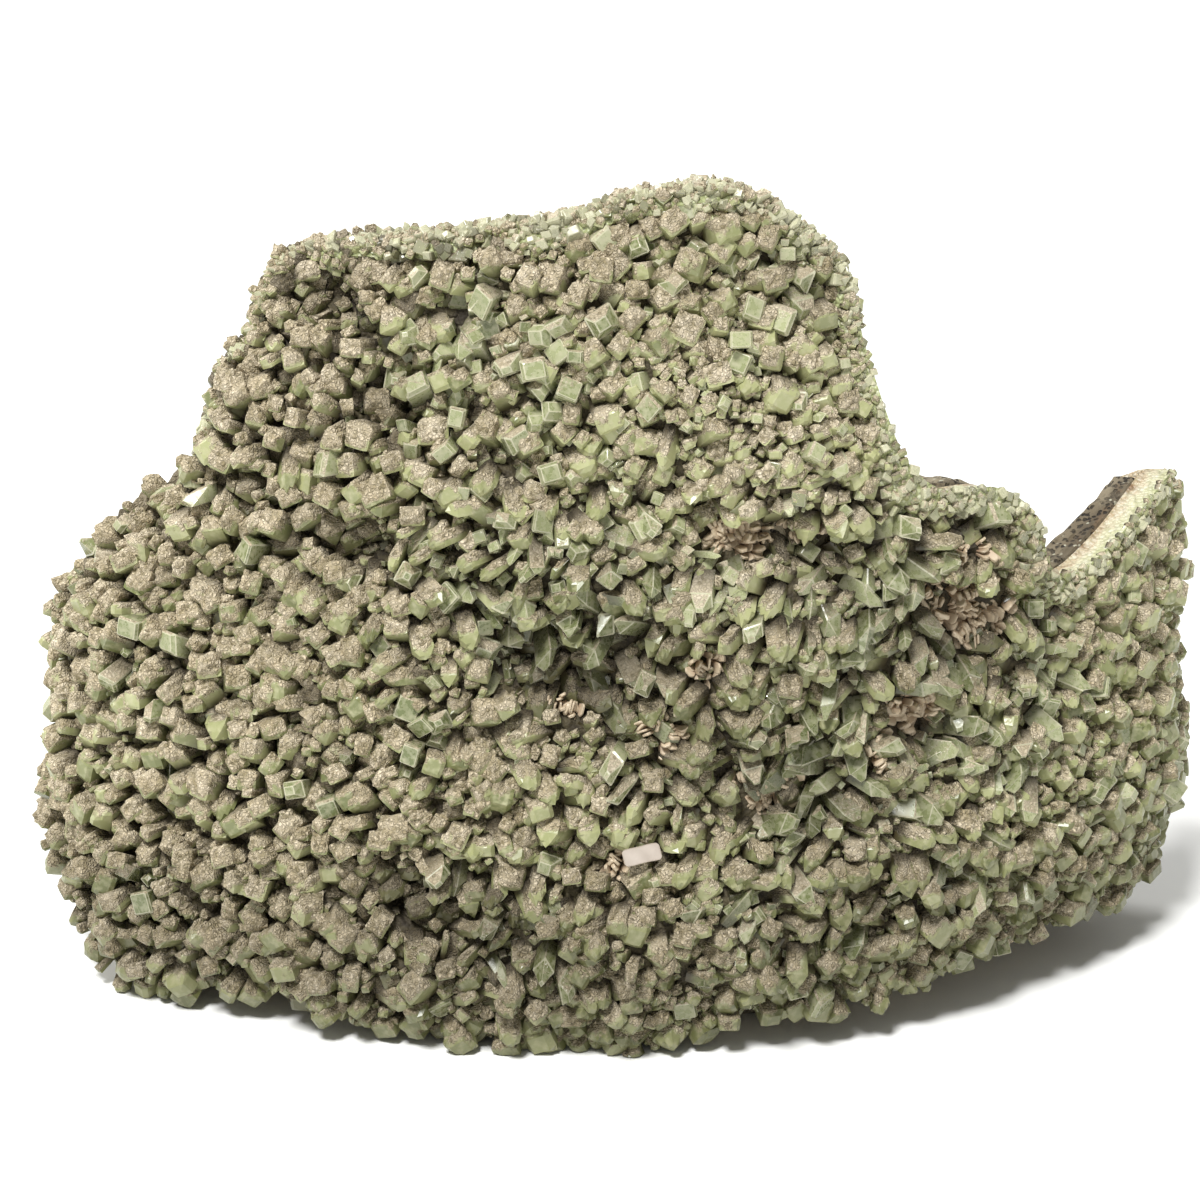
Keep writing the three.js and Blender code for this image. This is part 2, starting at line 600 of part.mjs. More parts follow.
function build() {
  const slab = basaltBody();
  const room = grown(slab, GAP);
  const sheaves = Object.entries(STILBITE).map(([name, sheaf], k) => ({ name, ...stilbiteSheaf(sheaf, k) }));
  let crystals = crustBody();
  for (const crystal of LONG_CRYSTALS) crystals = crystals.add(longCrystal(crystal));
  for (const { pocket } of sheaves) crystals = crystals.subtract(pocket);
  const crust = largest(aboveFloor(crystals.subtract(room), 1));
  const group = new THREE.Group();
  group.add(meshFrom("basalt_matrix", aboveFloor(slab, 0), "#4a443c", 0.95));
  group.add(meshFrom("apophyllite_crust", crust, "#aeb48c", 0.45));
  for (const { name, sheaf } of sheaves) group.add(meshFrom(name, sheaf.subtract(room), "#b39c86", 0.6));
  group.add(meshFrom("paper_label", restLabel(crust), "#d9d2cc", 0.8));
  return group;
}

export default build();
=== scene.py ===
# A standing cluster of green apophyllite on a bent slab of basalt, with stilbite in its hollows.
#
# The frame is in metres, +Z up, -Y towards the viewer. The forms are drawn here in millimetres on the
# unrolled face, as s (distance along the slab's bend) by z (height), and depth is counted inwards from
# the crystal tips. Lengths turn to metres where a mesh is made.
import math
from functools import partial

import bmesh
import bpy
import numpy as np
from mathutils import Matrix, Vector
from mathutils.geometry import delaunay_2d_cdt


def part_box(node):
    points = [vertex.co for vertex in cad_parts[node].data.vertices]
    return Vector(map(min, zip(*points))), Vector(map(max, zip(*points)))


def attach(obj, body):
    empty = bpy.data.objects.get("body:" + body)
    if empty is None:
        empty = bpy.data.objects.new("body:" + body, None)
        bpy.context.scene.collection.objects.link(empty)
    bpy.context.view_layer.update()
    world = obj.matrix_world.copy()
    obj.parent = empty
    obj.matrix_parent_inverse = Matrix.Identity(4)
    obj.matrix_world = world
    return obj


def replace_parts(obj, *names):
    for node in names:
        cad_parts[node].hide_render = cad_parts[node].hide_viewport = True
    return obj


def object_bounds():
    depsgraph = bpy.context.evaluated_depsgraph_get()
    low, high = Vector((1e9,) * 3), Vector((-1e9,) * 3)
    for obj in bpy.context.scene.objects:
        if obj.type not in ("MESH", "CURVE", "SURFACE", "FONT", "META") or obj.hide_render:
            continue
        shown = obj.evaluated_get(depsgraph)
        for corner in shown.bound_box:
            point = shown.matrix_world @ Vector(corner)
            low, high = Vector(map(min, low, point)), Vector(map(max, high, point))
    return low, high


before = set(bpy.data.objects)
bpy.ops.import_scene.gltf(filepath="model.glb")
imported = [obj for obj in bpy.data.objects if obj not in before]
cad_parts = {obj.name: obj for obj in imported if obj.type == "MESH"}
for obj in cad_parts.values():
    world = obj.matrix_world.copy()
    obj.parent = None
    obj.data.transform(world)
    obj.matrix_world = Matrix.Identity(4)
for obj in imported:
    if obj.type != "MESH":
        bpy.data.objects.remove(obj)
cad_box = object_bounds()
dice = np.random.default_rng(41)

MM = 0.001
HEIGHT = 358
LEAN_BACK = 70
LEAN_POWER = 1.3
MIDDLE_X = 3.4
MIDDLE_Y = 97.6
GAP_DEPTH = 10.5  # crystal tips to the bottom of the gaps between them
WRAP_DEPTH = 36  # how far back the crust reaches round the slab's edges
EDGE_SWELL = 4.3
ROW_WIDTH = 15  # from one row of crystals to the next
BACK_INSET = 12.4  # how far inside its edge the crust's hidden back begins

# The bend in plan, left to right, through the crystal tips at floor level
BEND = [
    (-275, 178), (-267, 125), (-231, 75), (-163, 34), (-90, 9), (0, 0),
    (82, 6), (144, 28), (194, 64), (241, 109), (274, 164), (288, 227),
]

# The crust's outline on the unrolled face, clockwise from the upper left corner
CRUST_OUTLINE = [
    (-151, 319), (-137, 331), (-112, 335), (-60, 342), (-15, 349), (6, 356), (48, 359),
    (77, 343), (94, 328), (102, 300), (112, 265), (124, 243), (141, 231), (172, 227),
    (191, 213), (202, 189), (220, 181), (249, 190), (279, 203), (299, 208), (314, 190),
    (318, 160), (306, 138), (322, 108), (326, 80), (320, 54), (303, 38), (261, 32),
    (217, 34), (168, 33), (125, 26), (78, 23), (57, 24), (36, 20), (15, 10),
    (-49, 11), (-105, 15), (-161, 20), (-192, 18), (-214, 11), (-238, 14), (-262, 30),
    (-282, 42), (-296, 56), (-288, 98), (-290, 129), (-280, 154), (-266, 175),
    (-237, 202), (-192, 235), (-180, 262), (-172, 281), (-160, 293),
]

# Broad forms of the face: s, z, half length, half width, turn in degrees, rise
FORMS = [
    (35, 278, 85, 30, -27, 9),
    (50, 324, 55, 22, -10, -6),
    (72, 221, 42, 13, -14, -13),
    (-28, 170, 34, 16, -30, -12),
    (20, 180, 30, 12, -10, -9),
    (155, 176, 34, 17, -35, -11),
    (136, 141, 22, 13, -10, -9),
    (66, 117, 32, 13, -15, -9),
    (-90, 72, 42, 14, -12, -11),
    (-4, 90, 30, 15, -5, -8),
    (-111, 217, 26, 11, -8, -9),
    (-166, 236, 18, 9, -10, -8),
    (-95, 273, 26, 12, -30, -9),
    (-125, 316, 24, 12, 20, -8),
    (-20, 218, 90, 17, -32, 6),
    (90, 184, 60, 14, -20, 6),
    (20, 58, 70, 18, 6, 6),
    (150, 84, 60, 18, 4, 5),
    (-215, 52, 60, 24, -8, 5),
    (-215, 156, 50, 20, -15, 4),
]

# Where long crystals grow, hanging out of the face: s, z, half length, half width, turn
LONG_GROWTH = [
    (10, 165, 70, 36, -25),
    (130, 175, 62, 34, -30),
    (80, 120, 55, 28, -15),
    (-50, 62, 40, 20, -10),
    (112, 70, 50, 16, 5),
]

# Sheaves of stilbite that stand in the solid model too: s, z, half length, half width
STILBITE = {
    "stilbite_under_shelf": (53, 224, 19, 9),
    "stilbite_by_notch": (163, 183, 19, 14),
    "stilbite_right": (136, 144, 15, 10),
    "stilbite_middle": (65, 117, 14, 9),
}
# and smaller sprays between the crystals
SPRAYS = [
    (-95, 161, 8, 6), (18, 143, 9, 5), (161, 208, 11, 5), (-22, 152, 8, 5), (178, 168, 9, 6),
    (148, 196, 10, 5), (84, 226, 8, 5), (112, 128, 8, 5), (36, 172, 7, 5), (0, 86, 8, 5), (186, 186, 8, 5),
]

LABEL = {"s": 11, "z": 93, "width": 16, "height": 7.4, "thickness": 0.45, "turn": 14, "corner": 1.1}


# The bent face


def smoothstep(x, low, high):
    t = np.clip((np.asarray(x, float) - low) / (high - low), 0, 1)
    return t * t * (3 - 2 * t)


def mix(a, b, t):
    return a + (b - a) * t


def unit(v):
    return v / np.linalg.norm(v, axis=-1, keepdims=True)


def plan_curve(points, per_side=400):
    """The smooth curve through the bend's points."""
    p = np.array([points[0], *points, points[-1]], float)
    t = np.linspace(0, 1, per_side, endpoint=False)[:, None]
    sides = []
    for a, b, c, d in zip(p, p[1:], p[2:], p[3:]):
        leave, arrive = (c - a) / 2, (d - b) / 2
        cubic = (2 * b - 2 * c + leave + arrive) * t**3
        sides.append(cubic + (3 * c - 3 * b - 2 * leave - arrive) * t**2 + leave * t + b)
    return np.vstack([*sides, p[-1:]])


def travelled(line):
    """How far along a line each of its points lies."""
    return np.concatenate([[0], np.cumsum(np.hypot(*np.diff(line, axis=0).T))])


plan = plan_curve(BEND)
run = travelled(plan)
run -= np.interp(0, plan[:, 0], run)
heading = np.gradient(plan, run, axis=0)


def place(s, z):
    """Where (s, z) lies on the bent face: the point, and the directions along it, up it and out of it."""
    s, z = np.broadcast_arrays(np.asarray(s, float), np.asarray(z, float))
    level = np.maximum(z, 0) / HEIGHT
    x = np.interp(s, run, plan[:, 0]) - MIDDLE_X
    y = np.interp(s, run, plan[:, 1]) + LEAN_BACK * level**LEAN_POWER - MIDDLE_Y
    slope = LEAN_BACK * LEAN_POWER / HEIGHT * level ** (LEAN_POWER - 1)
    flat = np.zeros_like(z)
    along = unit(np.stack([np.interp(s, run, heading[:, 0]), np.interp(s, run, heading[:, 1]), flat], -1))
    up = unit(np.stack([flat, slope, np.ones_like(z)], -1))
    return np.stack([x, y, z], -1), along, up, unit(np.cross(along, up))


def under(s, z, depth):
    point, _, _, out = place(s, z)
    return point - out * np.asarray(depth, float)[..., None]


def chance(i, j, k):
    n = np.sin(i * 127.1 + j * 311.7 + k * 74.7) * 43758.5453
    return n - np.floor(n)


def lumps(s, z, size, k):
    """Smooth lumps from -1 to 1, one about every `size` millimetres of the face."""
    a, b = np.asarray(s, float) / size, np.asarray(z, float) / size
    i, j = np.floor(a), np.floor(b)
    u, v = smoothstep(a - i, 0, 1), smoothstep(b - j, 0, 1)
    low = mix(chance(i, j, k), chance(i + 1, j, k), u)
    high = mix(chance(i, j + 1, k), chance(i + 1, j + 1, k), u)
    return 2 * mix(low, high, v) - 1


def hump(s, z, form):
    """1 in the middle of an oval form, falling to 0 past its edge."""
    cs, cz, length, width, turn = form[:5]
    c, n = math.cos(math.radians(turn)), math.sin(math.radians(turn))
    along = ((s - cs) * c + (z - cz) * n) / length
    across = ((z - cz) * c - (s - cs) * n) / width
    return np.exp(-along * along - across * across)


def rise(s, z):
    """How far the face stands out, from its broad forms and from lumps 42 mm apart."""
    return 2.5 * lumps(s, z, 42, 1) + sum(form[5] * hump(s, z, form) for form in FORMS)


def rows(s, z):
    """From -1 to 1: the crystals stand in broken rows that run down to the right."""
    across = 0.53 * s + 0.85 * z + 9 * lumps(s, z, 46, 5)
    broken_up = np.sin(across * 2 * math.pi / ROW_WIDTH) * (0.6 + 0.4 * lumps(s, z, 60, 6))
    return broken_up * (0.9 + 1.3 * smoothstep(-s, 20, 120))


def swollen_outline():
    """The crust's edge on the unrolled face, evenly spaced and moved outwards a little."""
    p = np.array(CRUST_OUTLINE, float)
    a, b, c, d = (np.roll(p, k, axis=0) for k in (1, 0, -1, -2))
    da, db, dc = (np.linalg.norm(q, axis=1, keepdims=True) ** 0.5 for q in (b - a, c - b, d - c))
    leave = ((b - a) / da - (c - a) / (da + db) + (c - b) / db) * db
    arrive = ((c - b) / db - (d - b) / (db + dc) + (d - c) / dc) * db
    t = np.linspace(0, 1, 60, endpoint=False)[None, :, None]
    b, c, leave, arrive = (q[:, None, :] for q in (b, c, leave, arrive))
    cubic = (2 * b - 2 * c + leave + arrive) * t**3 + (3 * c - 3 * b - 2 * leave - arrive) * t**2
    curve = (cubic + leave * t + b).reshape(-1, 2)[::-1]
    even = evenly(curve, 265)
    return even + outward_from(even, 2) * EDGE_SWELL


def evenly(loop, count):
    closed = np.vstack([loop, loop[:1]])
    far = travelled(closed)
    at = np.linspace(0, far[-1], count, endpoint=False)
    return np.stack([np.interp(at, far, closed[:, k]) for k in (0, 1)], -1)


def outward_from(loop, step):
    ahead = np.roll(loop, -step, axis=0) - np.roll(loop, step, axis=0)
    return unit(np.stack([ahead[:, 1], -ahead[:, 0]], -1))


EDGE_COUNT = 560
edge = evenly(swollen_outline(), EDGE_COUNT)
edge_out = outward_from(edge, 3)
EDGE_PACE = float(np.mean(np.hypot(*(np.roll(edge, -1, axis=0) - edge).T)))


def notch_break(s, z):
    return smoothstep(s, 104, 116) * (1 - smoothstep(s, 296, 308)) * smoothstep(z, 130, 150)


def foot_break(s, z):
    return (1 - smoothstep(z, 36, 52)) * smoothstep(s, -262, -240) * (1 - smoothstep(s, 296, 318))


edge_bare = np.maximum(notch_break(*edge.T), foot_break(*edge.T))
# the edges along the top and down to the notch were rubbed: low, pale, sugary
edge_worn = smoothstep(edge[:, 1], 225, 250) * (1 - 0.35 * smoothstep(-edge[:, 0], 120, 150))
edge_worn = np.maximum(edge_worn, notch_break(*edge.T))


def nearest_edge(p):
    return ((p[:, None, :] - edge) ** 2).sum(-1).argmin(1)


def worn_share(p, distance):
    """1 at a rubbed edge, 0 about 14 mm inside it."""
    nearest = nearest_edge(p)
    reach = 12 + 6 * lumps(p[:, 0], p[:, 1], 18, 15) + 3 * edge_bare[nearest]
    return edge_worn[nearest] * (1 - smoothstep(distance / reach, 0.45, 1.2))


def inside(p):
    """Which points of the unrolled face lie inside the crust's edge, and how far from it they are."""
    a, b = edge, np.roll(edge, -1, axis=0)
    s, z = p[:, 0, None], p[:, 1, None]
    spans = (a[:, 1] > z) != (b[:, 1] > z)
    rising = np.where(b[:, 1] == a[:, 1], 1, b[:, 1] - a[:, 1])
    crossing = spans & (s < a[:, 0] + (b[:, 0] - a[:, 0]) * (z - a[:, 1]) / rising)
    far = np.sqrt(((p[:, None, :] - a) ** 2).sum(-1).min(1))
    return crossing.sum(1) % 2 == 1, far


def in_batches(work, p, size=6000):
    parts = [work(p[k : k + size]) for k in range(0, len(p), size)]
    return tuple(np.concatenate(columns) for columns in zip(*parts))


# Roughness of grown and broken surfaces


def hashed(i, j, k, seed):
    """Numbers from 0 to 1 that stay the same for the same cell."""
    n = i.astype(np.int64) * 73856093 ^ j.astype(np.int64) * 19349663 ^ k.astype(np.int64) * 83492791
    n = (n ^ seed * 2654435761) & 0xFFFFFFFF
    n = ((n ^ (n >> 13)) * 1274126177) & 0xFFFFFFFF
    n = ((n ^ (n >> 16)) * 2246822519) & 0xFFFFFFFF
    return ((n ^ (n >> 15)) & 0xFFFFFF) / 0xFFFFFF


def waves(points, size, seed):
    """Soft swells from -1 to 1, one about every `size` millimetres."""
    q = points / size
    cell = np.floor(q)
    f = q - cell
    f = f * f * (3 - 2 * f)
    total = 0
    for corner in np.ndindex(2, 2, 2):
        share = np.prod(np.where(corner, f, 1 - f), axis=-1)
        total = total + share * hashed(*(cell + corner).T, seed)
    return 2 * total - 1


def grains(points, size, seed):
    """Round grains `size` millimetres across: 1 on top of a grain, 0 in the creases between them."""
    q = points / size
    cell = np.floor(q)
    nearest = np.full(len(q), 9.0)
    second = np.full(len(q), 9.0)
    for step in np.ndindex(3, 3, 3):
        there = cell + step - 1
        offset = np.stack([hashed(*there.T, seed + n) for n in (1, 2, 3)], -1)
        far = ((there + 0.15 + 0.7 * offset - q) ** 2).sum(-1)
        second = np.minimum(second, np.maximum(nearest, far))
        nearest = np.minimum(nearest, far)
    return np.clip(np.sqrt(second) - np.sqrt(nearest), 0, 1)


# Meshes


def mesh_piece(name, points, faces, finishes, marks=None, face_marks=None, face_finish=None, smooth=False):
    """A piece from points in millimetres and faces that all have the same number of corners."""
    mesh = bpy.data.meshes.new(name)
    corners = faces.shape[1]
    mesh.vertices.add(len(points))
    mesh.vertices.foreach_set("co", (points * MM).astype(np.float32).ravel())
    mesh.loops.add(faces.size)
    mesh.loops.foreach_set("vertex_index", faces.astype(np.int32).ravel())
    mesh.polygons.add(len(faces))
    mesh.polygons.foreach_set("loop_start", np.arange(0, faces.size, corners, dtype=np.int32))
    if face_finish is not None:
        mesh.polygons.foreach_set("material_index", face_finish.astype(np.int32))
    for finish in finishes:
        mesh.materials.append(finish)
    for title, values in (marks or {}).items():
        mesh.attributes.new(title, "FLOAT", "POINT").data.foreach_set("value", values.astype(np.float32))
    for title, values in (face_marks or {}).items():
        mesh.attributes.new(title, "FLOAT", "FACE").data.foreach_set("value", values.astype(np.float32))
    mesh.update(calc_edges=True)
    mesh.polygons.foreach_set("use_smooth", np.full(len(faces), smooth))
    piece = bpy.data.objects.new(name, mesh)
    bpy.context.scene.collection.objects.link(piece)
    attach(piece, "root")
    return piece


def outward_order(points, faces):
    """Turns round the faces of a closed shape when they face inwards."""
    p = points[faces[:, :3]]
    volume = (p[:, 0] * np.cross(p[:, 1], p[:, 2])).sum()
    return faces[:, ::-1] if volume < 0 else faces


def tube(turns, corners):
    """Faces along a tube of rings, each with so many corners."""
    return [
        (corners * k + n, corners * k + m, corners * k + corners + m, corners * k + corners + n)
        for k in range(turns) for n in range(corners) for m in [(n + 1) % corners]
    ]


def sheet(lines, columns):
    """Faces of a sheet of points in lines and columns, and the points round its border."""
    grid = np.arange((lines + 1) * (columns + 1)).reshape(lines + 1, columns + 1)
    faces = np.stack([grid[:-1, :-1], grid[:-1, 1:], grid[1:, 1:], grid[1:, :-1]], -1).reshape(-1, 4)
    return faces, np.concatenate([grid[0, :-1], grid[:-1, -1], grid[-1, :0:-1], grid[:0:-1, 0]])


def band(above, below):
    """Faces between two loops of points."""
    return np.stack([np.roll(above, -1), above, below, np.roll(below, -1)], 1)


def for_each(faces, count, points_each):
    """The faces of one crystal or blade, repeated for all of them."""
    return (np.array(faces)[None] + np.arange(count)[:, None, None] * points_each).reshape(-1, 4)


# Materials


def linear(hex_colour):
    channels = [int(hex_colour[k : k + 2], 16) / 255 for k in (1, 3, 5)]
    return (*(c / 12.92 if c <= 0.04045 else ((c + 0.055) / 1.055) ** 2.4 for c in channels), 1)


# A Mix node of two colours: they go in at sockets 6 and 7, their share at 0
BLEND = {"out": 2, "data_type": "RGBA"}


def node(tree, kind, values={}, links={}, out=0, **settings):
    """Adds a node to a material with its settings, its socket values and its links, and gives one output."""
    made = tree.nodes.new("ShaderNode" + kind)
    for name, value in settings.items():
        setattr(made, name, value)
    for socket, value in values.items():
        made.inputs[socket].default_value = value
    for socket, source in links.items():
        tree.links.new(source, made.inputs[socket])
    return made.outputs[out] if made.outputs else made


def new_material(name, finish, *marks):
    """A material. `finish` is given the place on the piece and the piece's marks. It adds the nodes and gives
    the surface's values and links."""
    material = bpy.data.materials.new(name)
    material.use_nodes = True
    material.node_tree.nodes.clear()
    add = partial(node, material.node_tree)
    where = add("TexCoord", out="Object")
    values, links = finish(add, where, *(add("Attribute", out="Fac", attribute_name=mark) for mark in marks))
    add("OutputMaterial", links={"Surface": add("BsdfPrincipled", values, links)})
    return material


def druse_coat(add, where, mark, tint):
    """The druse that later grew on the crystals: beige to cream grains, rough as sugar, with a pit here and
    there between them. The cracks between the grains and the pits are darkened as painted shade, and the
    grains are lighter with the crystal's tint, which carries painted light on the shelf. Gives its colour,
    its relief and how far it covers the crystal."""
    # the real grains are 0.4 to 1 mm; drawn 1.5 mm across so that they show
    stir = add("TexNoise", {"Scale": 420, "Detail": 2}, {"Vector": where}, "Color")
    drift = add("VectorMath", {1: [0.0022] * 3}, {0: stir, 2: where}, operation="MULTIPLY_ADD")
    grain = add("TexVoronoi", {"Scale": 650}, {"Vector": drift}, "Distance", feature="DISTANCE_TO_EDGE")
    cells = add("TexVoronoi", {"Scale": 650}, {"Vector": drift}, "Color")
    pick = add("SeparateColor", links={0: cells})
    patches = add("TexNoise", {"Scale": 130, "Detail": 3}, {"Vector": where}, "Fac")
    patch_share = add("MapRange", {"From Min": 0.35, "From Max": 0.65, "To Max": 0.35}, {"Value": patches})
    by_grain = add("Math", {1: 0.4}, {0: pick, 2: patch_share}, operation="MULTIPLY_ADD")
    # lighter with the tint, which holds the crystal's own tone and also painted light and shade by region
    light = add("Math", {1: 0.35}, {0: tint, 2: by_grain}, operation="MULTIPLY_ADD")
    colour = add("Mix", {6: linear("#C0AF8D"), 7: linear("#F3E5CB")}, {0: light}, **BLEND)
    # painted shade: darker in the cracks between the grains and in the pits
    crack = add("MapRange", {"From Max": 0.14, "To Min": 0.54, "To Max": 0}, {"Value": grain})
    pit = add("MapRange", {"From Min": 0.05, "From Max": 0.1, "To Min": 0.5, "To Max": 0}, {"Value": pick})
    for share, dark in ((crack, "#716543"), (pit, "#665B39")):
        colour = add("Mix", {7: linear(dark)}, {0: share, 6: colour}, **BLEND)
    rounded = add("MapRange", {"From Max": 0.35}, {"Value": grain}, interpolation_type="SMOOTHSTEP")
    relief = add("Math", links={0: rounded, 1: pit}, operation="SUBTRACT")
    ragged = add("TexNoise", {"Scale": 600, "Detail": 2}, {"Vector": where}, "Fac")
    centred = add("Math", {1: -0.5}, {0: ragged}, operation="ADD")
    spread = add("Math", {1: 1.1}, {0: centred, 2: mark}, operation="MULTIPLY_ADD")
    cover = add("MapRange", {"From Min": 0.28, "From Max": 0.68}, {"Value": spread})
    return colour, relief, cover


def apophyllite_crystal(add, where, tint, rim, druse, painted_shade, through, polish):
    """Apophyllite, grown in a lava cavity: flat glassy faces, pearly at the ends, with milky veils inside.
    To the eye a pale green that deepens where the crystal is thick, painted white along the edges, with a
    dusting of druse on the faces turned up. The white edges are a painted highlight on the chamfers and the
    pale of rubbed crystals on the worn rims; the crystal is darkened towards its roots as painted shade."""
    coat, relief, cover = druse_coat(add, where, druse, tint)
    # milky veils 2.5 mm apart
    veils = add("TexNoise", {"Scale": 400, "Detail": 3}, {"Vector": where}, "Fac")
    green = add("Mix", {6: linear("#7E8757"), 7: linear("#C0C595")}, {0: tint}, **BLEND)
    veil_share = add("MapRange", {"From Min": 0.42, "From Max": 0.7, "To Max": 0.7}, {"Value": veils})
    # painted highlight on the chamfers, with the pale of rubbed crystals where the edge was worn
    highlight_and_rub_share = add("Math", {1: 0.6}, {0: rim}, operation="MULTIPLY")
    for share, pale in ((veil_share, "#D3D0AF"), (highlight_and_rub_share, "#EAE4C9")):
        green = add("Mix", {7: linear(pale)}, {0: share, 6: green}, **BLEND)
    coated = add("Mix", links={0: cover, 6: green, 7: coat}, **BLEND)
    # painted shade towards the roots and in the hollows
    colour = add("Mix", {7: linear("#393320")}, {0: painted_shade, 6: coated}, **BLEND)
    # fine growth steps, 0.6 mm apart, on otherwise flat faces
    steps = add("TexNoise", {"Scale": 1600, "Detail": 2}, {"Vector": where}, "Fac")
    raised = add("Math", links={0: relief, 1: cover}, operation="MULTIPLY")
    height = add("Math", {1: 0.06}, {0: steps, 2: raised}, operation="MULTIPLY_ADD")
    bump = add("Bump", {"Strength": 0.8, "Distance": 0.0005}, {"Height": height})
    glassy = add("MapRange", {"To Min": polish, "To Max": polish + 0.35}, {"Value": veil_share})
    dulled = add("Math", {1: 0.8}, {0: cover}, operation="MULTIPLY")
    rough = add("Math", links={0: glassy, 1: dulled}, operation="MAXIMUM")
    values = {"IOR": 1.535, "Transmission Weight": through}
    return values, {"Base Color": colour, "Roughness": rough, "Normal": bump}


def frosted_apophyllite(add, where, tint, druse, crease, painted_shade):
    """Apophyllite whose upward faces were overgrown by a crust of tiny later crystals (druse): beige, rough
    as sugar, with pits between the grains. The faces turned down stay clean and green. The creases between
    the druse's lumps, and each crystal towards its root and in the hollows, are darkened as painted shade."""
    coat, relief, cover = druse_coat(add, where, druse, tint)
    green = add("Mix", {6: linear("#72774A"), 7: linear("#B1B382")}, {0: tint}, **BLEND)
    # milky clouds 3 mm across under the green faces
    clouds = add("TexNoise", {"Scale": 330, "Detail": 3}, {"Vector": where}, "Fac")
    cloud_share = add("MapRange", {"From Min": 0.45, "From Max": 0.75, "To Max": 0.6}, {"Value": clouds})
    milky = add("Mix", {7: linear("#C6C29E")}, {0: cloud_share, 6: green}, **BLEND)
    # painted shade in the creases between the druse's lumps
    creased = add("Mix", {7: linear("#7A6F49")}, {0: crease, 6: coat}, **BLEND)
    coated = add("Mix", links={0: cover, 6: milky, 7: creased}, **BLEND)
    # painted shade towards the roots and in the hollows
    colour = add("Mix", {7: linear("#372E1C")}, {0: painted_shade, 6: coated}, **BLEND)
    rough = add("MapRange", {"To Min": 0.34, "To Max": 0.9}, {"Value": cover})
    height = add("Math", links={0: relief, 1: cover}, operation="MULTIPLY")
    bump = add("Bump", {"Strength": 1.0, "Distance": 0.0008}, {"Height": height})
    return {"IOR": 1.535}, {"Base Color": colour, "Roughness": rough, "Normal": bump}


def crust_between_crystals(add, where):
    """The floor of the crust, where the crystals' roots meet: stunted crystals, their own olive to brown
    darkened as painted shade for the deep gaps between them.
    """
    grit = add("TexVoronoi", {"Scale": 600}, {"Vector": where}, "Distance")
    # painted shade over the floor, darker in patches about 6 mm across
    region_shade = add("TexNoise", {"Scale": 160, "Detail": 4}, {"Vector": where}, "Fac")
    region_shade_share = add("MapRange", {"From Min": 0.35, "From Max": 0.65}, {"Value": region_shade})
    colour = add("Mix", {6: linear("#524A32"), 7: linear("#2C2417")}, {0: region_shade_share}, **BLEND)
    bump = add("Bump", {"Strength": 0.8, "Distance": 0.001}, {"Height": grit}, invert=True)
    return {"IOR": 1.535, "Roughness": 0.8}, {"Base Color": colour, "Normal": bump}


def broken_crystal_band(add, where, across):
    """The crust where it broke through: crystals snapped across, sugary and pale, light green towards the
    tips and cream to pinkish tan where they start on the basalt."""
    clump = add("TexNoise", {"Scale": 220, "Detail": 3}, {"Vector": where}, "Fac")
    shifted = add("Math", {1: 0.9, 2: -0.45}, {0: clump}, operation="MULTIPLY_ADD")
    towards_tips = add("Math", links={0: across, 1: shifted}, operation="ADD")
    pale = add("MapRange", {"From Max": 0.35}, {"Value": towards_tips})
    fresh = add("MapRange", {"From Min": 0.2, "From Max": 0.85}, {"Value": towards_tips})
    colour = add("Mix", {6: linear("#BDA886"), 7: linear("#E4DBBE")}, {0: pale}, **BLEND)
    # chips of snapped crystal 1.8 mm across, each a little lighter or darker
    chips = add("TexVoronoi", {"Scale": 550}, {"Vector": where})
    pick = add("SeparateColor", links={0: chips.node.outputs["Color"]})
    bright = add("MapRange", {"From Min": 0.55, "To Max": 0.5}, {"Value": pick})
    dim = add("MapRange", {"From Min": 0.5, "From Max": 0.85, "To Max": 0.4}, {"Value": chips})
    # rust that seeped out of the basalt, in patches about 8 mm across
    seep = add("TexNoise", {"Scale": 120, "Detail": 4}, {"Vector": where}, "Fac")
    seep_share = add("MapRange", {"From Min": 0.5, "From Max": 0.66, "To Max": 0.75}, {"Value": seep})
    rust_edge = add("MapRange", {"From Max": 0.3, "To Min": 1, "To Max": 0}, {"Value": across})
    rust_share = add("Math", links={0: seep_share, 1: rust_edge}, operation="MULTIPLY")
    for share, tone in ((fresh, "#B9C08A"), (bright, "#F0EEDC"), (dim, "#8A8A5E"), (rust_share, "#7B5333")):
        colour = add("Mix", {7: linear(tone)}, {0: share, 6: colour}, **BLEND)
    bump = add("Bump", {"Strength": 1.0, "Distance": 0.0012}, {"Height": chips}, invert=True)
    values = {"IOR": 1.535, "Roughness": 0.42, "Transmission Weight": 0.15}
    return values, {"Base Color": colour, "Normal": bump}


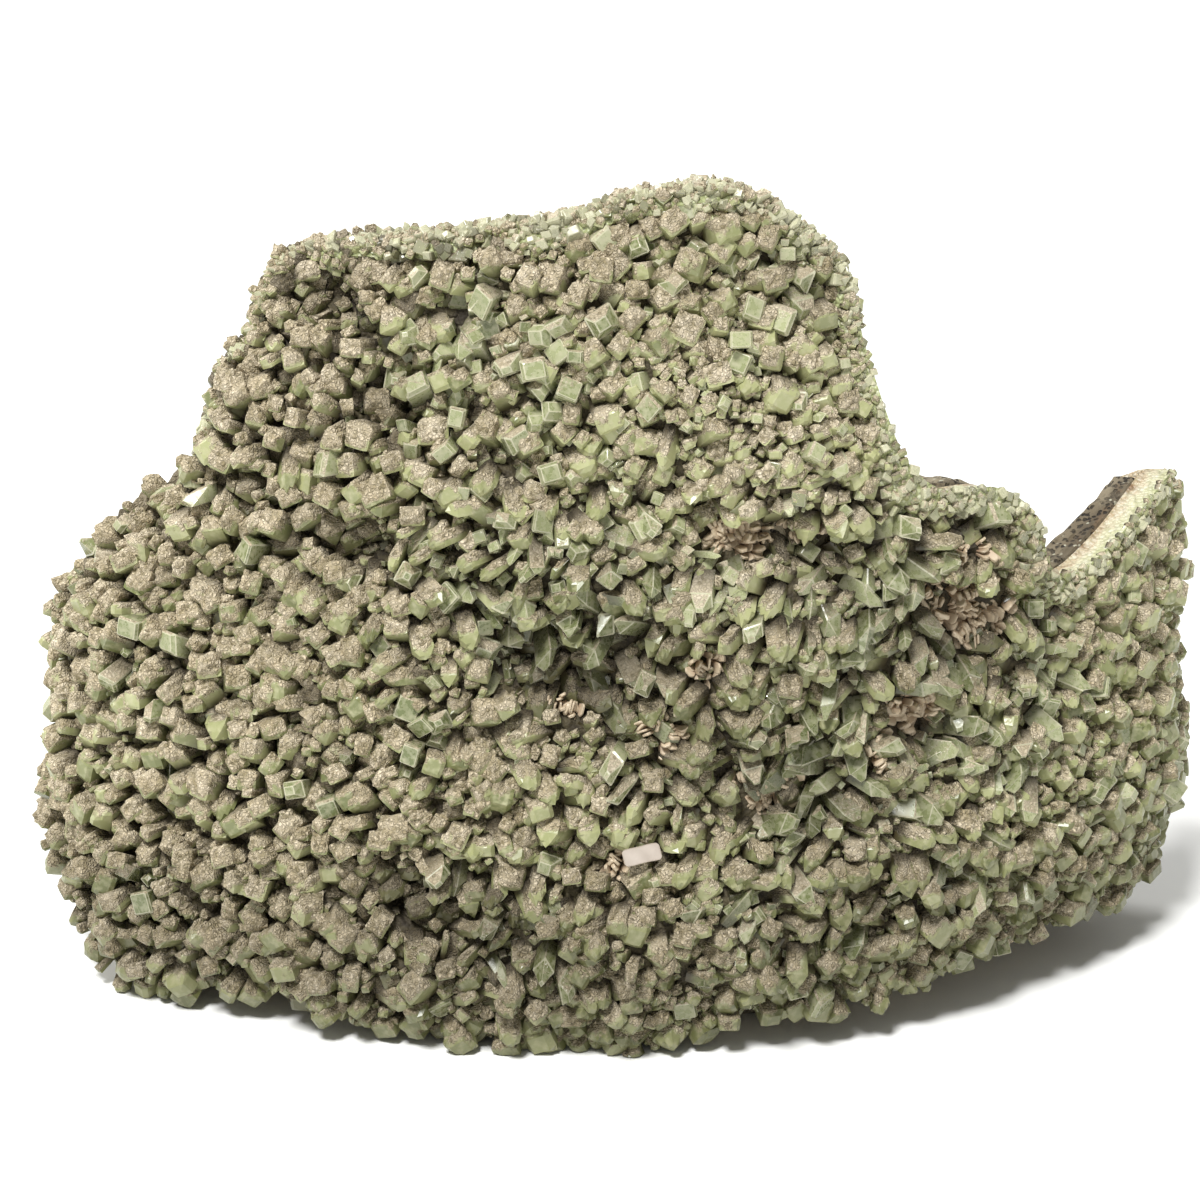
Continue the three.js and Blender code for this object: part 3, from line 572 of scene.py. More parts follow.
def basalt(add, where, contact):
    """Basalt, a lava broken by hammer and frost: dull grey-brown, pitted by gas bubbles 1 to 2 mm across,
    some of them filled with pale zeolite."""
    # weathering in patches 60 mm across, with finer stains in them
    stain = add("TexNoise", {"Scale": 17, "Detail": 7}, {"Vector": where}, "Fac")
    stain_share = add("MapRange", {"From Min": 0.35, "From Max": 0.7}, {"Value": stain})
    rock = add("Mix", {6: linear("#9A907A"), 7: linear("#675C49")}, {0: stain_share}, **BLEND)
    # darker, and here and there rusty, where it broke fresh along the crust
    rust = add("TexNoise", {"Scale": 70, "Detail": 3}, {"Vector": where}, "Fac")
    rust_share = add("MapRange", {"From Min": 0.54, "From Max": 0.66}, {"Value": rust})
    fresh = add("Mix", {6: linear("#4A4133"), 7: linear("#644A30")}, {0: rust_share}, **BLEND)
    fresh_share = add("Math", {1: 0.7}, {0: contact}, operation="MULTIPLY")
    rock = add("Mix", links={0: fresh_share, 6: rock, 7: fresh}, **BLEND)
    # bubbles 2.3 mm apart and 1 to 2 mm wide, drawn out of round
    stir = add("TexNoise", {"Scale": 300, "Detail": 3}, {"Vector": where}, "Color")
    drawn_out = add("VectorMath", {1: [0.003] * 3}, {0: stir, 2: where}, operation="MULTIPLY_ADD")
    bubbles = add("TexVoronoi", {"Scale": 440}, {"Vector": drawn_out})
    pit = add("MapRange", {"From Min": 0.24, "From Max": 0.5, "To Min": 1, "To Max": 0}, {"Value": bubbles})
    pick = add("SeparateColor", links={0: bubbles.node.outputs["Color"]})
    open_bubble = add("Math", {1: 0.3}, {0: pick}, operation="GREATER_THAN")
    filled_bubble = add("Math", {1: 0.07}, {0: pick}, operation="LESS_THAN")
    # the bubbles rose in swarms
    swarm = add("TexNoise", {"Scale": 45, "Detail": 3}, {"Vector": where}, "Fac")
    swarm_share = add("MapRange", {"From Min": 0.36, "From Max": 0.54, "To Min": 0.25}, {"Value": swarm})
    crowd = add("Math", links={0: open_bubble, 1: swarm_share}, operation="MULTIPLY")
    hole = add("Math", links={0: pit, 1: crowd}, operation="MULTIPLY")
    bead = add("Math", links={0: pit, 1: filled_bubble}, operation="MULTIPLY")
    # painted shade in the open bubble holes; the filled bubbles keep their pale zeolite
    for share, tone in ((hole, "#2B251D"), (bead, "#A9A794")):
        rock = add("Mix", {7: linear(tone)}, {0: share, 6: rock}, **BLEND)
    grit = add("TexNoise", {"Scale": 420, "Detail": 6}, {"Vector": where}, "Fac")
    sunk = add("Math", {1: -1.4}, {0: hole, 2: grit}, operation="MULTIPLY_ADD")
    bump = add("Bump", {"Strength": 1.0, "Distance": 0.0016}, {"Height": sunk})
    return {"Roughness": 0.93}, {"Base Color": rock, "Normal": bump}


def stilbite(add, where, tint, tip):
    """Stilbite, grown as sheaves of thin plates: peach to pinkish beige, pearly on the broad faces, with fine
    lines along each blade."""
    body = add("Mix", {6: linear("#8E765F"), 7: linear("#C4AD92")}, {0: tint}, **BLEND)
    tip_share = add("Math", {1: 0.6}, {0: tip}, operation="MULTIPLY")
    colour = add("Mix", {7: linear("#CFC1A6")}, {0: tip_share, 6: body}, **BLEND)
    lines = add("TexNoise", {"Scale": 1400, "Detail": 2}, {"Vector": where}, "Fac")
    bump = add("Bump", {"Strength": 0.35, "Distance": 0.0004}, {"Height": lines})
    return {"IOR": 1.5, "Roughness": 0.45}, {"Base Color": colour, "Normal": bump}


def card(add, where, worn):
    """Thin card, cut by hand and faded: off-white with a pinkish cast, a soft fibre grain, dirtier edges."""
    # paper fibres are finer than this; drawn 0.5 mm long so that they show
    fibres = add("TexNoise", {"Scale": 2000, "Detail": 4}, {"Vector": where}, "Fac")
    faded = add("TexNoise", {"Scale": 180, "Detail": 2}, {"Vector": where}, "Fac")
    paper = add("Mix", {6: linear("#AEA296"), 7: linear("#C6BBB0")}, {0: faded}, **BLEND)
    worn_share = add("Math", {1: 0.5}, {0: worn}, operation="MULTIPLY")
    colour = add("Mix", {7: linear("#8F816E")}, {0: worn_share, 6: paper}, **BLEND)
    bump = add("Bump", {"Strength": 0.25, "Distance": 0.0002}, {"Height": fibres})
    return {"Roughness": 0.85}, {"Base Color": colour, "Normal": bump}


glass_marks = ("tint", "rim", "druse", "painted_shade")
cloudy_finish = partial(apophyllite_crystal, through=0.22, polish=0.24)
clear_finish = partial(apophyllite_crystal, through=0.55, polish=0.08)
cloudy = new_material("apophyllite_cloudy", cloudy_finish, *glass_marks)
clear = new_material("apophyllite_clear", clear_finish, *glass_marks)
frosted = new_material("frosted_apophyllite", frosted_apophyllite, "tint", "druse", "crease", "painted_shade")
crust_floor = new_material("crust_floor", crust_between_crystals)
broken = new_material("broken_apophyllite", broken_crystal_band, "across")
rock = new_material("basalt", basalt, "contact")
peach = new_material("stilbite", stilbite, "tint", "tip")
paper = new_material("card", card, "worn")


# The crust's floor


def floor_depth(s, z, distance, worn=0):
    """How deep the gaps between the crystals lie under the tips."""
    rounded = 6 * (1 - smoothstep(distance, 0, 24))
    rubbed = GAP_DEPTH - 5.5 + 5 * (1 - notch_break(s, z)) * (1 - smoothstep(distance, 0, 13))
    return mix(GAP_DEPTH + rounded, rubbed, worn) - rise(s, z) - 2.2 * rows(s, z) * (1 - worn)


def worn_at(p, distance):
    paired = np.column_stack([p, distance])
    return in_batches(lambda q: (worn_share(q[:, :2], q[:, 2]),), paired)[0]


def fill(outline, spacing, clear, stir=0.0):
    """Triangles that fill an outline on the unrolled face, from points at least `clear` inside the crust's
    edge. The outline's own points come first."""
    low, high = outline.min(0), outline.max(0)
    grid = np.stack(np.meshgrid(*(np.arange(a, b, spacing) for a, b in zip(low, high))), -1).reshape(-1, 2)
    grid = grid + np.random.default_rng(1).uniform(-stir, stir, grid.shape) * spacing
    within, far = in_batches(inside, grid)
    ends = [(k, (k + 1) % len(outline)) for k in range(len(outline))]
    flat = [Vector(p) for p in np.vstack([outline, grid[within & (far > clear)]])]
    points, _, faces, *_ = delaunay_2d_cdt(flat, ends, [], 1, 1e-6)
    return np.array(points), np.array([f for f in faces if len(f) == 3])


def crust_floor_piece():
    """The crust itself: its floor between the crystals, and its sides, whole where crystals wrap the edge and
    broken off short elsewhere."""
    flat, front = fill(edge, 4.0, 2.4, stir=0.35)
    _, far = in_batches(inside, flat)
    far[:EDGE_COUNT] = 0
    worn = worn_at(flat, far)
    s, z = flat.T
    face = under(s, z, floor_depth(s, z, far, worn))
    rough = 1.1 * waves(face, 5, 3) + 0.9 * grains(face, 4, 8)
    face = face + place(s, z)[3] * (rough * smoothstep(far, 0, 6) * (1 - 0.55 * worn))[:, None]
    bare = edge_bare[:, None]
    # rings round the edge: their depth and how far out they stand, where crystals wrap it and where it broke
    wrapped = [(4, 0.6), (9, 1), (15, 1), (21, 0.5), (28, 0)]
    wrapped += [(WRAP_DEPTH, -2), (WRAP_DEPTH, -7), (30, -BACK_INSET)]
    snapped = [(3, 0), (6, 0), (9, 0), (12, 0), (15, 0), (18, 0), (20, 0), (22, -6)]
    rings, across = [], []
    start = floor_depth(*edge.T, np.zeros(EDGE_COUNT), worn[:EDGE_COUNT])
    for k, ((deep, swell), (broken_deep, broken_swell)) in enumerate(zip(wrapped, snapped)):
        depth = mix(deep, broken_deep, edge_bare)
        depth = np.maximum(depth, start + (k + 1) * 0.4) if k < 5 else depth
        p = edge + edge_out * mix(swell, broken_swell, bare)
        ring = under(*p.T, depth)
        _, along, up, _ = place(*p.T)
        wobble = 0.9 * grains(ring, 3.2, 12) - 0.6 + 0.5 * waves(ring, 7, 13)
        if k < 6:
            ring = ring + (edge_out[:, :1] * along + edge_out[:, 1:] * up) * wobble[:, None]
        rings.append(ring)
        across.append(1 - np.clip(depth / 20, 0, 1))
    back_flat, back = fill(edge - edge_out * mix(BACK_INSET, 6, bare), 14, BACK_INSET + 7)
    points = np.vstack([face, *rings, under(*back_flat.T, np.full(len(back_flat), 22.5))])
    points[:, 2] = np.maximum(points[:, 2], 0.8)
    faces = [front]
    loop = np.arange(EDGE_COUNT)
    above = loop
    for k in range(len(rings) + 1):
        below = len(face) + k * EDGE_COUNT + loop
        side = band(above, below)
        faces += [side[:, :3], side[:, [0, 2, 3]]]
        above = below
    faces = np.vstack([*faces, back[:, ::-1] + above[0]])
    # the sides show broken crystal where the edge broke, where it was rubbed, and far back
    turns = len(rings) + 1
    ring_number = np.repeat(np.arange(turns), 2 * EDGE_COUNT)
    snapped_off = np.tile((edge_bare > 0.5) | (edge_worn > 0.4), 2 * turns) | (ring_number >= 4)
    return mesh_piece(
        "crust_floor", points, outward_order(points, faces), [crust_floor, broken],
        marks={"across": np.concatenate([np.ones(len(face)), *across, np.zeros(len(back_flat))])},
        face_finish=np.concatenate([worn[front].mean(1) > 0.45, snapped_off, np.zeros(len(back))]),
    )


# Crystals

# The druse settled on the faces that looked up, and its direction leans a little towards the viewer's left,
# where the overhead lamp stands:
# so the pale druse cover is partly painted light on the faces turned to the lamp
UP_TOWARDS_LAMP = unit(np.array([-0.12, -0.3, 0.95]))
BOX_LOW, BOX_HIGH = (np.array(corner) / MM for corner in cad_box)


def scattered(spots, rooms):
    """Keeps, in order, each spot that has its room free of the ones kept before."""
    cell = 10.0
    taken, kept = {}, []
    for n, ((s, z), room) in enumerate(zip(spots.tolist(), rooms.tolist())):
        i, j = int(s // cell), int(z // cell)
        near = [q for a in (i - 1, i, i + 1) for b in (j - 1, j, j + 1) for q in taken.get((a, b), ())]
        if all((s - qs) ** 2 + (z - qz) ** 2 > (room * 0.5 + other * 0.5) ** 2 for qs, qz, other in near):
            taken.setdefault((i, j), []).append((s, z, room))
            kept.append(n)
    return np.array(kept)


def stilbite_share(s, z, places):
    """1 inside a sheaf of stilbite, 0 away from it."""
    far = [np.hypot((s - cs) / length, (z - cz) / width) for cs, cz, length, width in places]
    return 1 - smoothstep(np.min(far, axis=0), 0.75, 1.2)


def face_crystals():
    """Crystals over the whole face: long ones, stubby ones, and small ones in the gaps between them."""
    low, high = edge.min(0), edge.max(0)
    spots = dice.uniform(low, high, (130000, 2))
    within, far = in_batches(inside, spots)
    spots, far = spots[within & (far > 0.8)], far[within & (far > 0.8)]
    s, z = spots.T
    count = len(s)
    worn = worn_at(spots, far)
    long_share = np.clip(sum(hump(s, z, form) for form in LONG_GROWTH), 0, 1) * (1 - worn)
    fine = np.clip(hump(s, z, (40, 280, 70, 24, -27)) + hump(s, z, (235, 90, 90, 60, 0)) * 0.5 + worn, 0, 1)
    small = dice.uniform(0, 1, count) < 0.5
    is_long = (dice.uniform(0, 1, count) < 0.55 * long_share) & ~small
    wide = 6.0 * np.exp(0.28 * dice.standard_normal(count)) * (1 + 0.12 * is_long)
    wide = wide * (1 - 0.25 * fine) * (1 - 0.3 * worn)
    wide = np.where(small, dice.uniform(2.3, 4.0, count), np.clip(wide, 3.2, np.where(is_long, 8.5, 11.5)))
    by_notch = (notch_break(s, z) > 0) & (far < 5) & ~small
    order = np.argsort(3 * small - is_long - 0.4 * (wide > 8), kind="stable")
    order = order[~by_notch[order]]
    room = wide * np.where(is_long, 0.85, np.where(small, 0.78, 0.63))
    kept = order[scattered(spots[order], room[order])]
    share = 0.94 * stilbite_share(s[kept], z[kept], [*STILBITE.values(), *SPRAYS])
    kept = kept[share < dice.uniform(0.1, 0.98, len(kept))]
    s, z, far, wide, worn, fine, small, is_long, long_share = (
        q[kept] for q in (s, z, far, wide, worn, fine, small, is_long, long_share)
    )
    count = len(s)
    _, along, up, out = place(s, z)
    fan = np.radians(272 + 80 * lumps(s, z, 38, 16) + dice.normal(0, 38, count))
    in_face = along * np.cos(fan)[:, None] + up * np.sin(fan)[:, None]
    lying = np.where(is_long, dice.uniform(0.5, 1.5, count), 0)
    wander = dice.standard_normal((count, 3)) * (0.32 - 0.16 * worn)[:, None]
    rim_lean = ((1 - smoothstep(far, 0, 14)) * (1 - notch_break(s, z)))[:, None]
    axis = out * (1 - 0.3 * lying)[:, None] + in_face * lying[:, None] + wander + up * 0.05
    axis = unit(axis + rim_lean * 0.5 * edge_direction(s, z, along, up))
    stand = wide * np.where(is_long, dice.uniform(1.2, 2.2, count), dice.uniform(0.45, 1.2, count))
    stand = stand * (1 - 0.25 * fine) + 2.2 * rows(s, z) * (1 - long_share) * ~small
    stand = mix(stand, wide * dice.uniform(0.1, 0.45, count), worn)
    sunk = np.where(small, 2.5, 4.5)
    lifted = np.where(is_long, 2.5 * np.clip(lying, 0, 1), 0)
    root = under(s, z, floor_depth(s, z, far, worn) + sunk * 0.75 - lifted)
    stand = np.clip(stand, np.where(small, 0.7, 2.2 - 1.6 * worn), np.where(is_long, 15, 9.5))
    reach = stand + sunk
    # nothing grows through the label
    near_label = np.hypot((s - LABEL["s"]) / 10.5, (z - LABEL["z"]) / 6.5) < 1
    reach = np.where(near_label, np.minimum(reach, 9.5), reach)
    axis = np.where(near_label[:, None], unit(out + 0.3 * wander), axis)
    coat = 0.74 + 0.24 * lumps(s, z, 70, 9) + 0.18 * lumps(s, z, 25, 10) - 0.26 * long_share
    coat = coat + 0.16 * smoothstep(-s, 20, 160) - 0.2 * hump(s, z, (150, 290, 40, 60, 0)) - 0.4 * worn
    coat = coat + dice.normal(0, 0.26, count)
    shelf = hump(s, z, (60, 250, 110, 60, -27))
    underside = 1 - smoothstep(z, 20, 110)
    hollow = smoothstep(-rise(s, z), 2, 11)
    # half of them are pseudo-cubes, the others blunt or sharp pyramids
    cubic = dice.uniform(0, 1, count) < 0.5
    ends = np.where(cubic, dice.uniform(0.68, 0.92, count), dice.uniform(0.08, 0.55, count))
    return {
        "root": root, "axis": axis, "wide": wide * 1.12, "reach": reach,
        "coat": coat, "upward": up, "worn": worn, "kind": np.where(is_long, 2, np.where(small, 0, 1)),
        "thick": np.where(is_long, dice.uniform(0.5, 0.85, count), dice.uniform(0.75, 1, count)),
        "cap": np.where(is_long, dice.uniform(0.04, 0.35, count), ends),
        # painted shade: darker low down, in the hollows, among the long crystals and in the gaps between the
        # rows
        "region_shade": np.clip(
            0.42 * underside + 0.6 * hollow + 0.3 * long_share
            + (0.5 + 0.25 * smoothstep(-s, 20, 120)) * smoothstep(-rows(s, z), 0.1, 1.3), 0, 0.75
        ),
        # the crystal's own tone at random, with painted light on the upward shelf, painted shade low down,
        # and darker among the long crystals, partly their deeper green and partly painted shade
        "tint": np.clip(
            dice.uniform(0.05, 0.95, count) + 0.25 * lumps(s, z, 60, 11)
            + 0.45 * shelf - 0.2 * underside - 0.3 * long_share, 0, 1.2
        ),
    }


def edge_direction(s, z, along, up):
    """The direction away from the face's middle at each place near its edge."""
    (nearest,) = in_batches(lambda p: (nearest_edge(p),), np.stack([s, z], -1))
    n = edge_out[nearest]
    return along * n[:, :1] + up * n[:, 1:]


def edge_crystals():
    """Crystals that wrap the slab's edges and turn over its back corner, on all edges but the broken ones."""
    length = EDGE_COUNT * EDGE_PACE
    spots = np.stack([dice.uniform(0, length, 30000), dice.uniform(1, WRAP_DEPTH + 7, 30000)], -1)
    wide = np.clip(5.7 * np.exp(0.26 * dice.standard_normal(len(spots))), 3.0, 9)
    index = (spots[:, 0] / EDGE_PACE).astype(int) % EDGE_COUNT
    wide = wide * (1 - 0.35 * edge_worn[index])
    beside = np.max([np.roll(edge_bare, k) for k in (-4, -2, 0, 2, 4)], axis=0)
    free = beside[index] < 0.35
    spots, wide, index = spots[free], wide[free], index[free]
    kept = scattered(spots, wide * 0.7)
    spots, wide, index = spots[kept], wide[kept], index[kept]
    part = (spots[:, 0] / EDGE_PACE % 1)[:, None]
    flat = edge[index] * (1 - part) + edge[(index + 1) % EDGE_COUNT] * part
    corner = WRAP_DEPTH - 3
    depth, over = np.minimum(spots[:, 1], corner), np.maximum(spots[:, 1] - corner, 0)
    count = len(depth)
    start = floor_depth(*flat.T, np.zeros(count), edge_worn[index])
    normal = edge_out[index]
    inset = np.where(over > 0, 1 + over, 5.0 + 2 * smoothstep(depth, 24, WRAP_DEPTH))
    at = flat - normal * inset[:, None]
    lip = WRAP_DEPTH - 5 - 1.1 * np.maximum(inset - 7, 0)
    root = under(*at.T, np.where(over > 0, lip, np.maximum(depth, start + 2)))
    _, along, up, out = place(*at.T)
    side = along * normal[:, :1] + up * normal[:, 1:]
    forward = (1 - smoothstep(depth, 4, 20)) * 0.8 - smoothstep(depth, 24, WRAP_DEPTH) * 0.5 - 0.25 * over
    axis = unit(side + out * forward[:, None] + dice.standard_normal((count, 3)) * 0.26)
    worn = edge_worn[index] * (1 - 0.6 * smoothstep(depth, 16, 30))
    stand = mix(wide * dice.uniform(0.12, 0.48, count), 1.2 + wide * dice.uniform(0.02, 0.3, count), worn)
    reach = np.clip(5.4 + stand, 5.6, 10.5)
    return {
        "root": root, "axis": axis, "wide": wide, "reach": reach, "upward": up, "worn": worn,
        "coat": 0.62 - 0.25 * worn + dice.normal(0, 0.3, count), "thick": dice.uniform(0.78, 1, count),
        # painted shade: darker towards the bottom of the slab
        "kind": np.ones(count, int), "region_shade": 0.35 * (1 - smoothstep(flat[:, 1], 20, 110)),
        "cap": dice.choice([0.12, 0.4, 0.72, 0.86], count), "tint": dice.uniform(0.2, 1, count),
    }


def grown_frames(crystals):
    """Two directions square to each crystal's axis, turned at random about it."""
    axis = crystals["axis"]
    turn = dice.uniform(0, math.pi / 2, len(axis))[:, None]
    one = unit(np.cross(axis, crystals["upward"] + np.array([0.11, 0.07, 0.03])))
    other = np.cross(axis, one)
    return one * np.cos(turn) + other * np.sin(turn), other * np.cos(turn) - one * np.sin(turn)


def chosen(crystals, which):
    return {name: values[which] for name, values in crystals.items()}


def shaped(crystals, across, along_thickness, height):
    """Points of every crystal, from their places across, through and up it."""
    one, other = crystals["one"], crystals["other"]
    half = crystals["wide"] / 2
    root, axis = crystals["root"], crystals["axis"]
    return (
        root[:, None] + axis[:, None] * (height * crystals["reach"][:, None])[..., None]
        + one[:, None] * (across * half[:, None])[..., None]
        + other[:, None] * (along_thickness * (half * crystals["thick"])[:, None])[..., None]
    )


def clean_crystals(name, finish, crystals):
    """Glassy crystals: a square prism with chamfered edges and a pyramid cut short by a flat end."""
    count = len(crystals["wide"])
    cut = 0.13
    ring = np.array([
        (1, -1 + cut), (1, 1 - cut), (1 - cut, 1), (-1 + cut, 1),
        (-1, 1 - cut), (-1, -1 + cut), (-1 + cut, -1), (1 - cut, -1),
    ])
    cap = crystals["cap"][:, None]
    stubby = crystals["wide"][:, None] / crystals["reach"][:, None]
    # the pyramid rises by 0.75 of the width that it takes in
    roof = np.clip((1 - cap) * stubby * 0.75, 0.03, 0.55)
    soft = 0.05 * stubby
    zero = np.zeros_like(cap)
    levels = [zero, 1 - roof - soft * 0.6, 1 - roof + soft * 0.35, 1 - soft * 0.35, zero + 1]
    scales = [zero + 0.93, zero + 1, 1 - (1 - cap) * 0.12 - 0.03, cap + (1 - cap) * 0.1 + 0.02, cap * 0.93]
    slant = dice.normal(0, 0.1, (count, 2))
    rings = []
    for k, (level, scale) in enumerate(zip(levels, scales)):
        x, y = scale * ring[:, 0], scale * ring[:, 1]
        lift = level + (x * slant[:, :1] + y * slant[:, 1:]) * (k > 0)
        rings.append(shaped(crystals, x, y, lift))
    points = np.stack(rings, 1).reshape(count, -1, 3)
    faces = tube(4, 8)
    # painted highlight: the chamfers and the narrow bands at the shoulders are marked to be painted pale
    bevel_highlight = [int(k in (1, 3) or n % 2 == 1) for k in range(4) for n in range(8)] + [0] * 6
    faces += [(32, 33, 34, 35), (32, 35, 36, 39), (36, 37, 38, 39), (3, 2, 1, 0), (7, 4, 3, 0), (7, 6, 5, 4)]
    faces = for_each(faces, count, 40)
    # painted shade: each crystal's root ring is darkened, and the whole crystal where the region's painted
    # shade lies
    painted_shade = np.maximum(np.repeat([0.9, 0, 0, 0, 0], 8), crystals["region_shade"][:, None])
    flat_points = points.reshape(-1, 3)
    a, b, c, d = (flat_points[faces[:, k]] for k in range(4))
    facing = unit(np.cross(c - a, d - b) + 1e-9)
    # the druse mark favours faces turned up and to the lamp, so it is partly painted light
    facing_up_to_lamp = facing @ UP_TOWARDS_LAMP + 0.3 * waves((a + c) / 2, 4, 24)
    coat = np.repeat(crystals["coat"], len(bevel_highlight))
    return mesh_piece(
        name, kept_inside(flat_points), faces, [finish],
        marks={"tint": np.repeat(crystals["tint"], 40), "painted_shade": painted_shade.ravel()},
        face_marks={
            "rim": np.maximum(np.tile(bevel_highlight, count), np.repeat(crystals["worn"], len(bevel_highlight)) * 0.85),
            "druse": smoothstep(facing_up_to_lamp, 0.85 - 0.7 * coat, 1.25 - 0.7 * coat) * 0.8,
        },
    )


def frosted_crystals(name, crystals, n, levels):
    """Crystals whose upward faces carry a rough druse: a square prism with a pitted, lumpy roof of n by n
    parts, and `levels` rings down its sides."""
    count = len(crystals["wide"])
    line = np.linspace(-1, 1, n + 1)
    top = np.array([(u, v) for v in line for u in line])
    faces, rim = sheet(n, n)
    square = np.abs(top).max(1)
    cap = crystals["cap"][:, None]
    one = np.ones_like(cap)
    stubby = crystals["wide"][:, None] / crystals["reach"][:, None]
    roof = np.clip((1 - cap) * stubby * 0.7, 0.03, 0.55)
    fall = np.clip((square - cap) / np.maximum(1 - cap, 0.05), 0, 1)
    # the corners are rounded off a little by the druse
    round_off = 1 - 0.06 * (np.abs(top).min(1) > 0.99)
    rings = [shaped(crystals, top[:, 0] * round_off * one, top[:, 1] * round_off * one, 1 - roof * fall)]
    for level in np.linspace(1, 0, levels + 1)[1:]:
        scale = (0.94 + 0.06 * level) * round_off[rim]
        lift = (1 - roof) * level * np.ones((count, len(rim)))
        rings.append(shaped(crystals, top[rim, 0] * scale * one, top[rim, 1] * scale * one, lift))
    points = np.concatenate(rings, 1)
    each = points.shape[1]
    # which way each place faces
    u, v = np.concatenate([top, *[top[rim]] * levels]).T
    steep = np.concatenate([square, np.ones(levels * len(rim))])
    outward = np.where(steep >= 0.99, 1.0, steep * 0.6 * (1 - cap))
    rise_up = np.concatenate([np.ones(len(top)), np.full(levels * len(rim), 0.1)])
    facing = unit(
        crystals["axis"][:, None] * (rise_up * one)[..., None]
        + crystals["one"][:, None] * (u * outward)[..., None]
        + crystals["other"][:, None] * (v * outward)[..., None]
    )
    flat_points, flat_facing = points.reshape(-1, 3), facing.reshape(-1, 3)
    coat = np.repeat(crystals["coat"], each)
    # the druse mark favours faces turned up and to the lamp, so it is partly painted light
    facing_up_to_lamp = flat_facing @ UP_TOWARDS_LAMP + 0.3 * waves(flat_points, 4, 21)
    druse = smoothstep(facing_up_to_lamp, 0.66 - 0.6 * coat, 1.06 - 0.6 * coat)
    lump = grains(flat_points, 2.4, 31)
    swell = druse * (2.0 * lump - 0.5 + 0.6 * waves(flat_points, 1.6, 22)) + 0.12 * waves(flat_points, 3, 23)
    base = np.tile(np.concatenate([np.ones(each - len(rim)), np.zeros(len(rim))]), count)
    size = np.clip(np.repeat(crystals["wide"], each) / 6, 0.45, 1)
    flat_points = flat_points + flat_facing * (swell * base * size)[:, None]
    loops = [rim, *(len(top) + np.arange(levels * len(rim)).reshape(levels, -1))]
    sides = [band(above, below) for above, below in zip(loops, loops[1:])]
    foot = [loops[-1][[0, 2 * k + 1, 2 * k, 2 * k - 1]] for k in range(1, len(rim) // 2)]
    faces = for_each(np.vstack([faces, *sides, foot]), count, each)
    # painted shade: darker down the sides towards each crystal's root
    depth = np.concatenate([np.zeros(len(top)), np.repeat(np.linspace(0, 1, levels + 1)[1:], len(rim))])
    rooted = np.tile(smoothstep(depth, 0.22, 0.95), count)
    marks = {
        "tint": np.repeat(crystals["tint"], each), "druse": druse,
        "painted_shade": np.maximum(rooted, np.repeat(crystals["region_shade"], each)),
        # painted shade in the creases between the druse's lumps
        "crease": (1 - smoothstep(lump, 0.0, 0.22)) * 0.6,
    }
    return mesh_piece(name, kept_inside(flat_points), faces, [frosted], marks=marks)


def kept_inside(points):
    """Keeps the points off the floor and inside the solid model's reach."""
    low = BOX_LOW - 3
    low[2] = 0.6
    return np.clip(points, low, BOX_HIGH + 3)


def crust():
    pieces = [crust_floor_piece()]
    face, sides = face_crystals(), edge_crystals()
    both = {name: np.concatenate([face[name], sides[name]]) for name in face}
    both["one"], both["other"] = grown_frames(both)
    coated = both["coat"] > 0.45
    glassy = ~coated & (dice.uniform(0, 1, len(coated)) < 0.16) & (both["wide"] < 8.5) & (both["kind"] < 2)
    left_to_right = np.argsort(both["root"][:, 0], kind="stable")
    wide, is_long = both["wide"], both["kind"] == 2
    # name, which crystals, parts of the roof, rings down the sides, most in one piece
    for title, which, n, levels, most in (
        ("frosted_small", ~is_long & (wide < 5.2), 3, 1, 3500),
        ("frosted_middling", ~is_long & (wide >= 5.2) & (wide < 7.4), 4, 2, 1400),
        ("frosted_big", ~is_long & (wide >= 7.4), 5, 2, 1200),
        ("frosted_long", is_long, 4, 5, 900),
    ):
        members = left_to_right[(coated & which)[left_to_right]]
        for k, part in enumerate(np.array_split(members, math.ceil(len(members) / most))):
            pieces.append(frosted_crystals(f"{title}_{k + 1}", chosen(both, part), n, levels))
    clouded = left_to_right[(~coated & ~glassy)[left_to_right]]
    for k, part in enumerate(np.array_split(clouded, math.ceil(len(clouded) / 2400))):
        pieces.append(clean_crystals(f"cloudy_crystals_{k + 1}", cloudy, chosen(both, part)))
    pieces.append(clean_crystals("clear_crystals", clear, chosen(both, np.flatnonzero(glassy))))
    for piece in pieces:
        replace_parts(piece, "apophyllite_crust")
    return pieces


# Stilbite


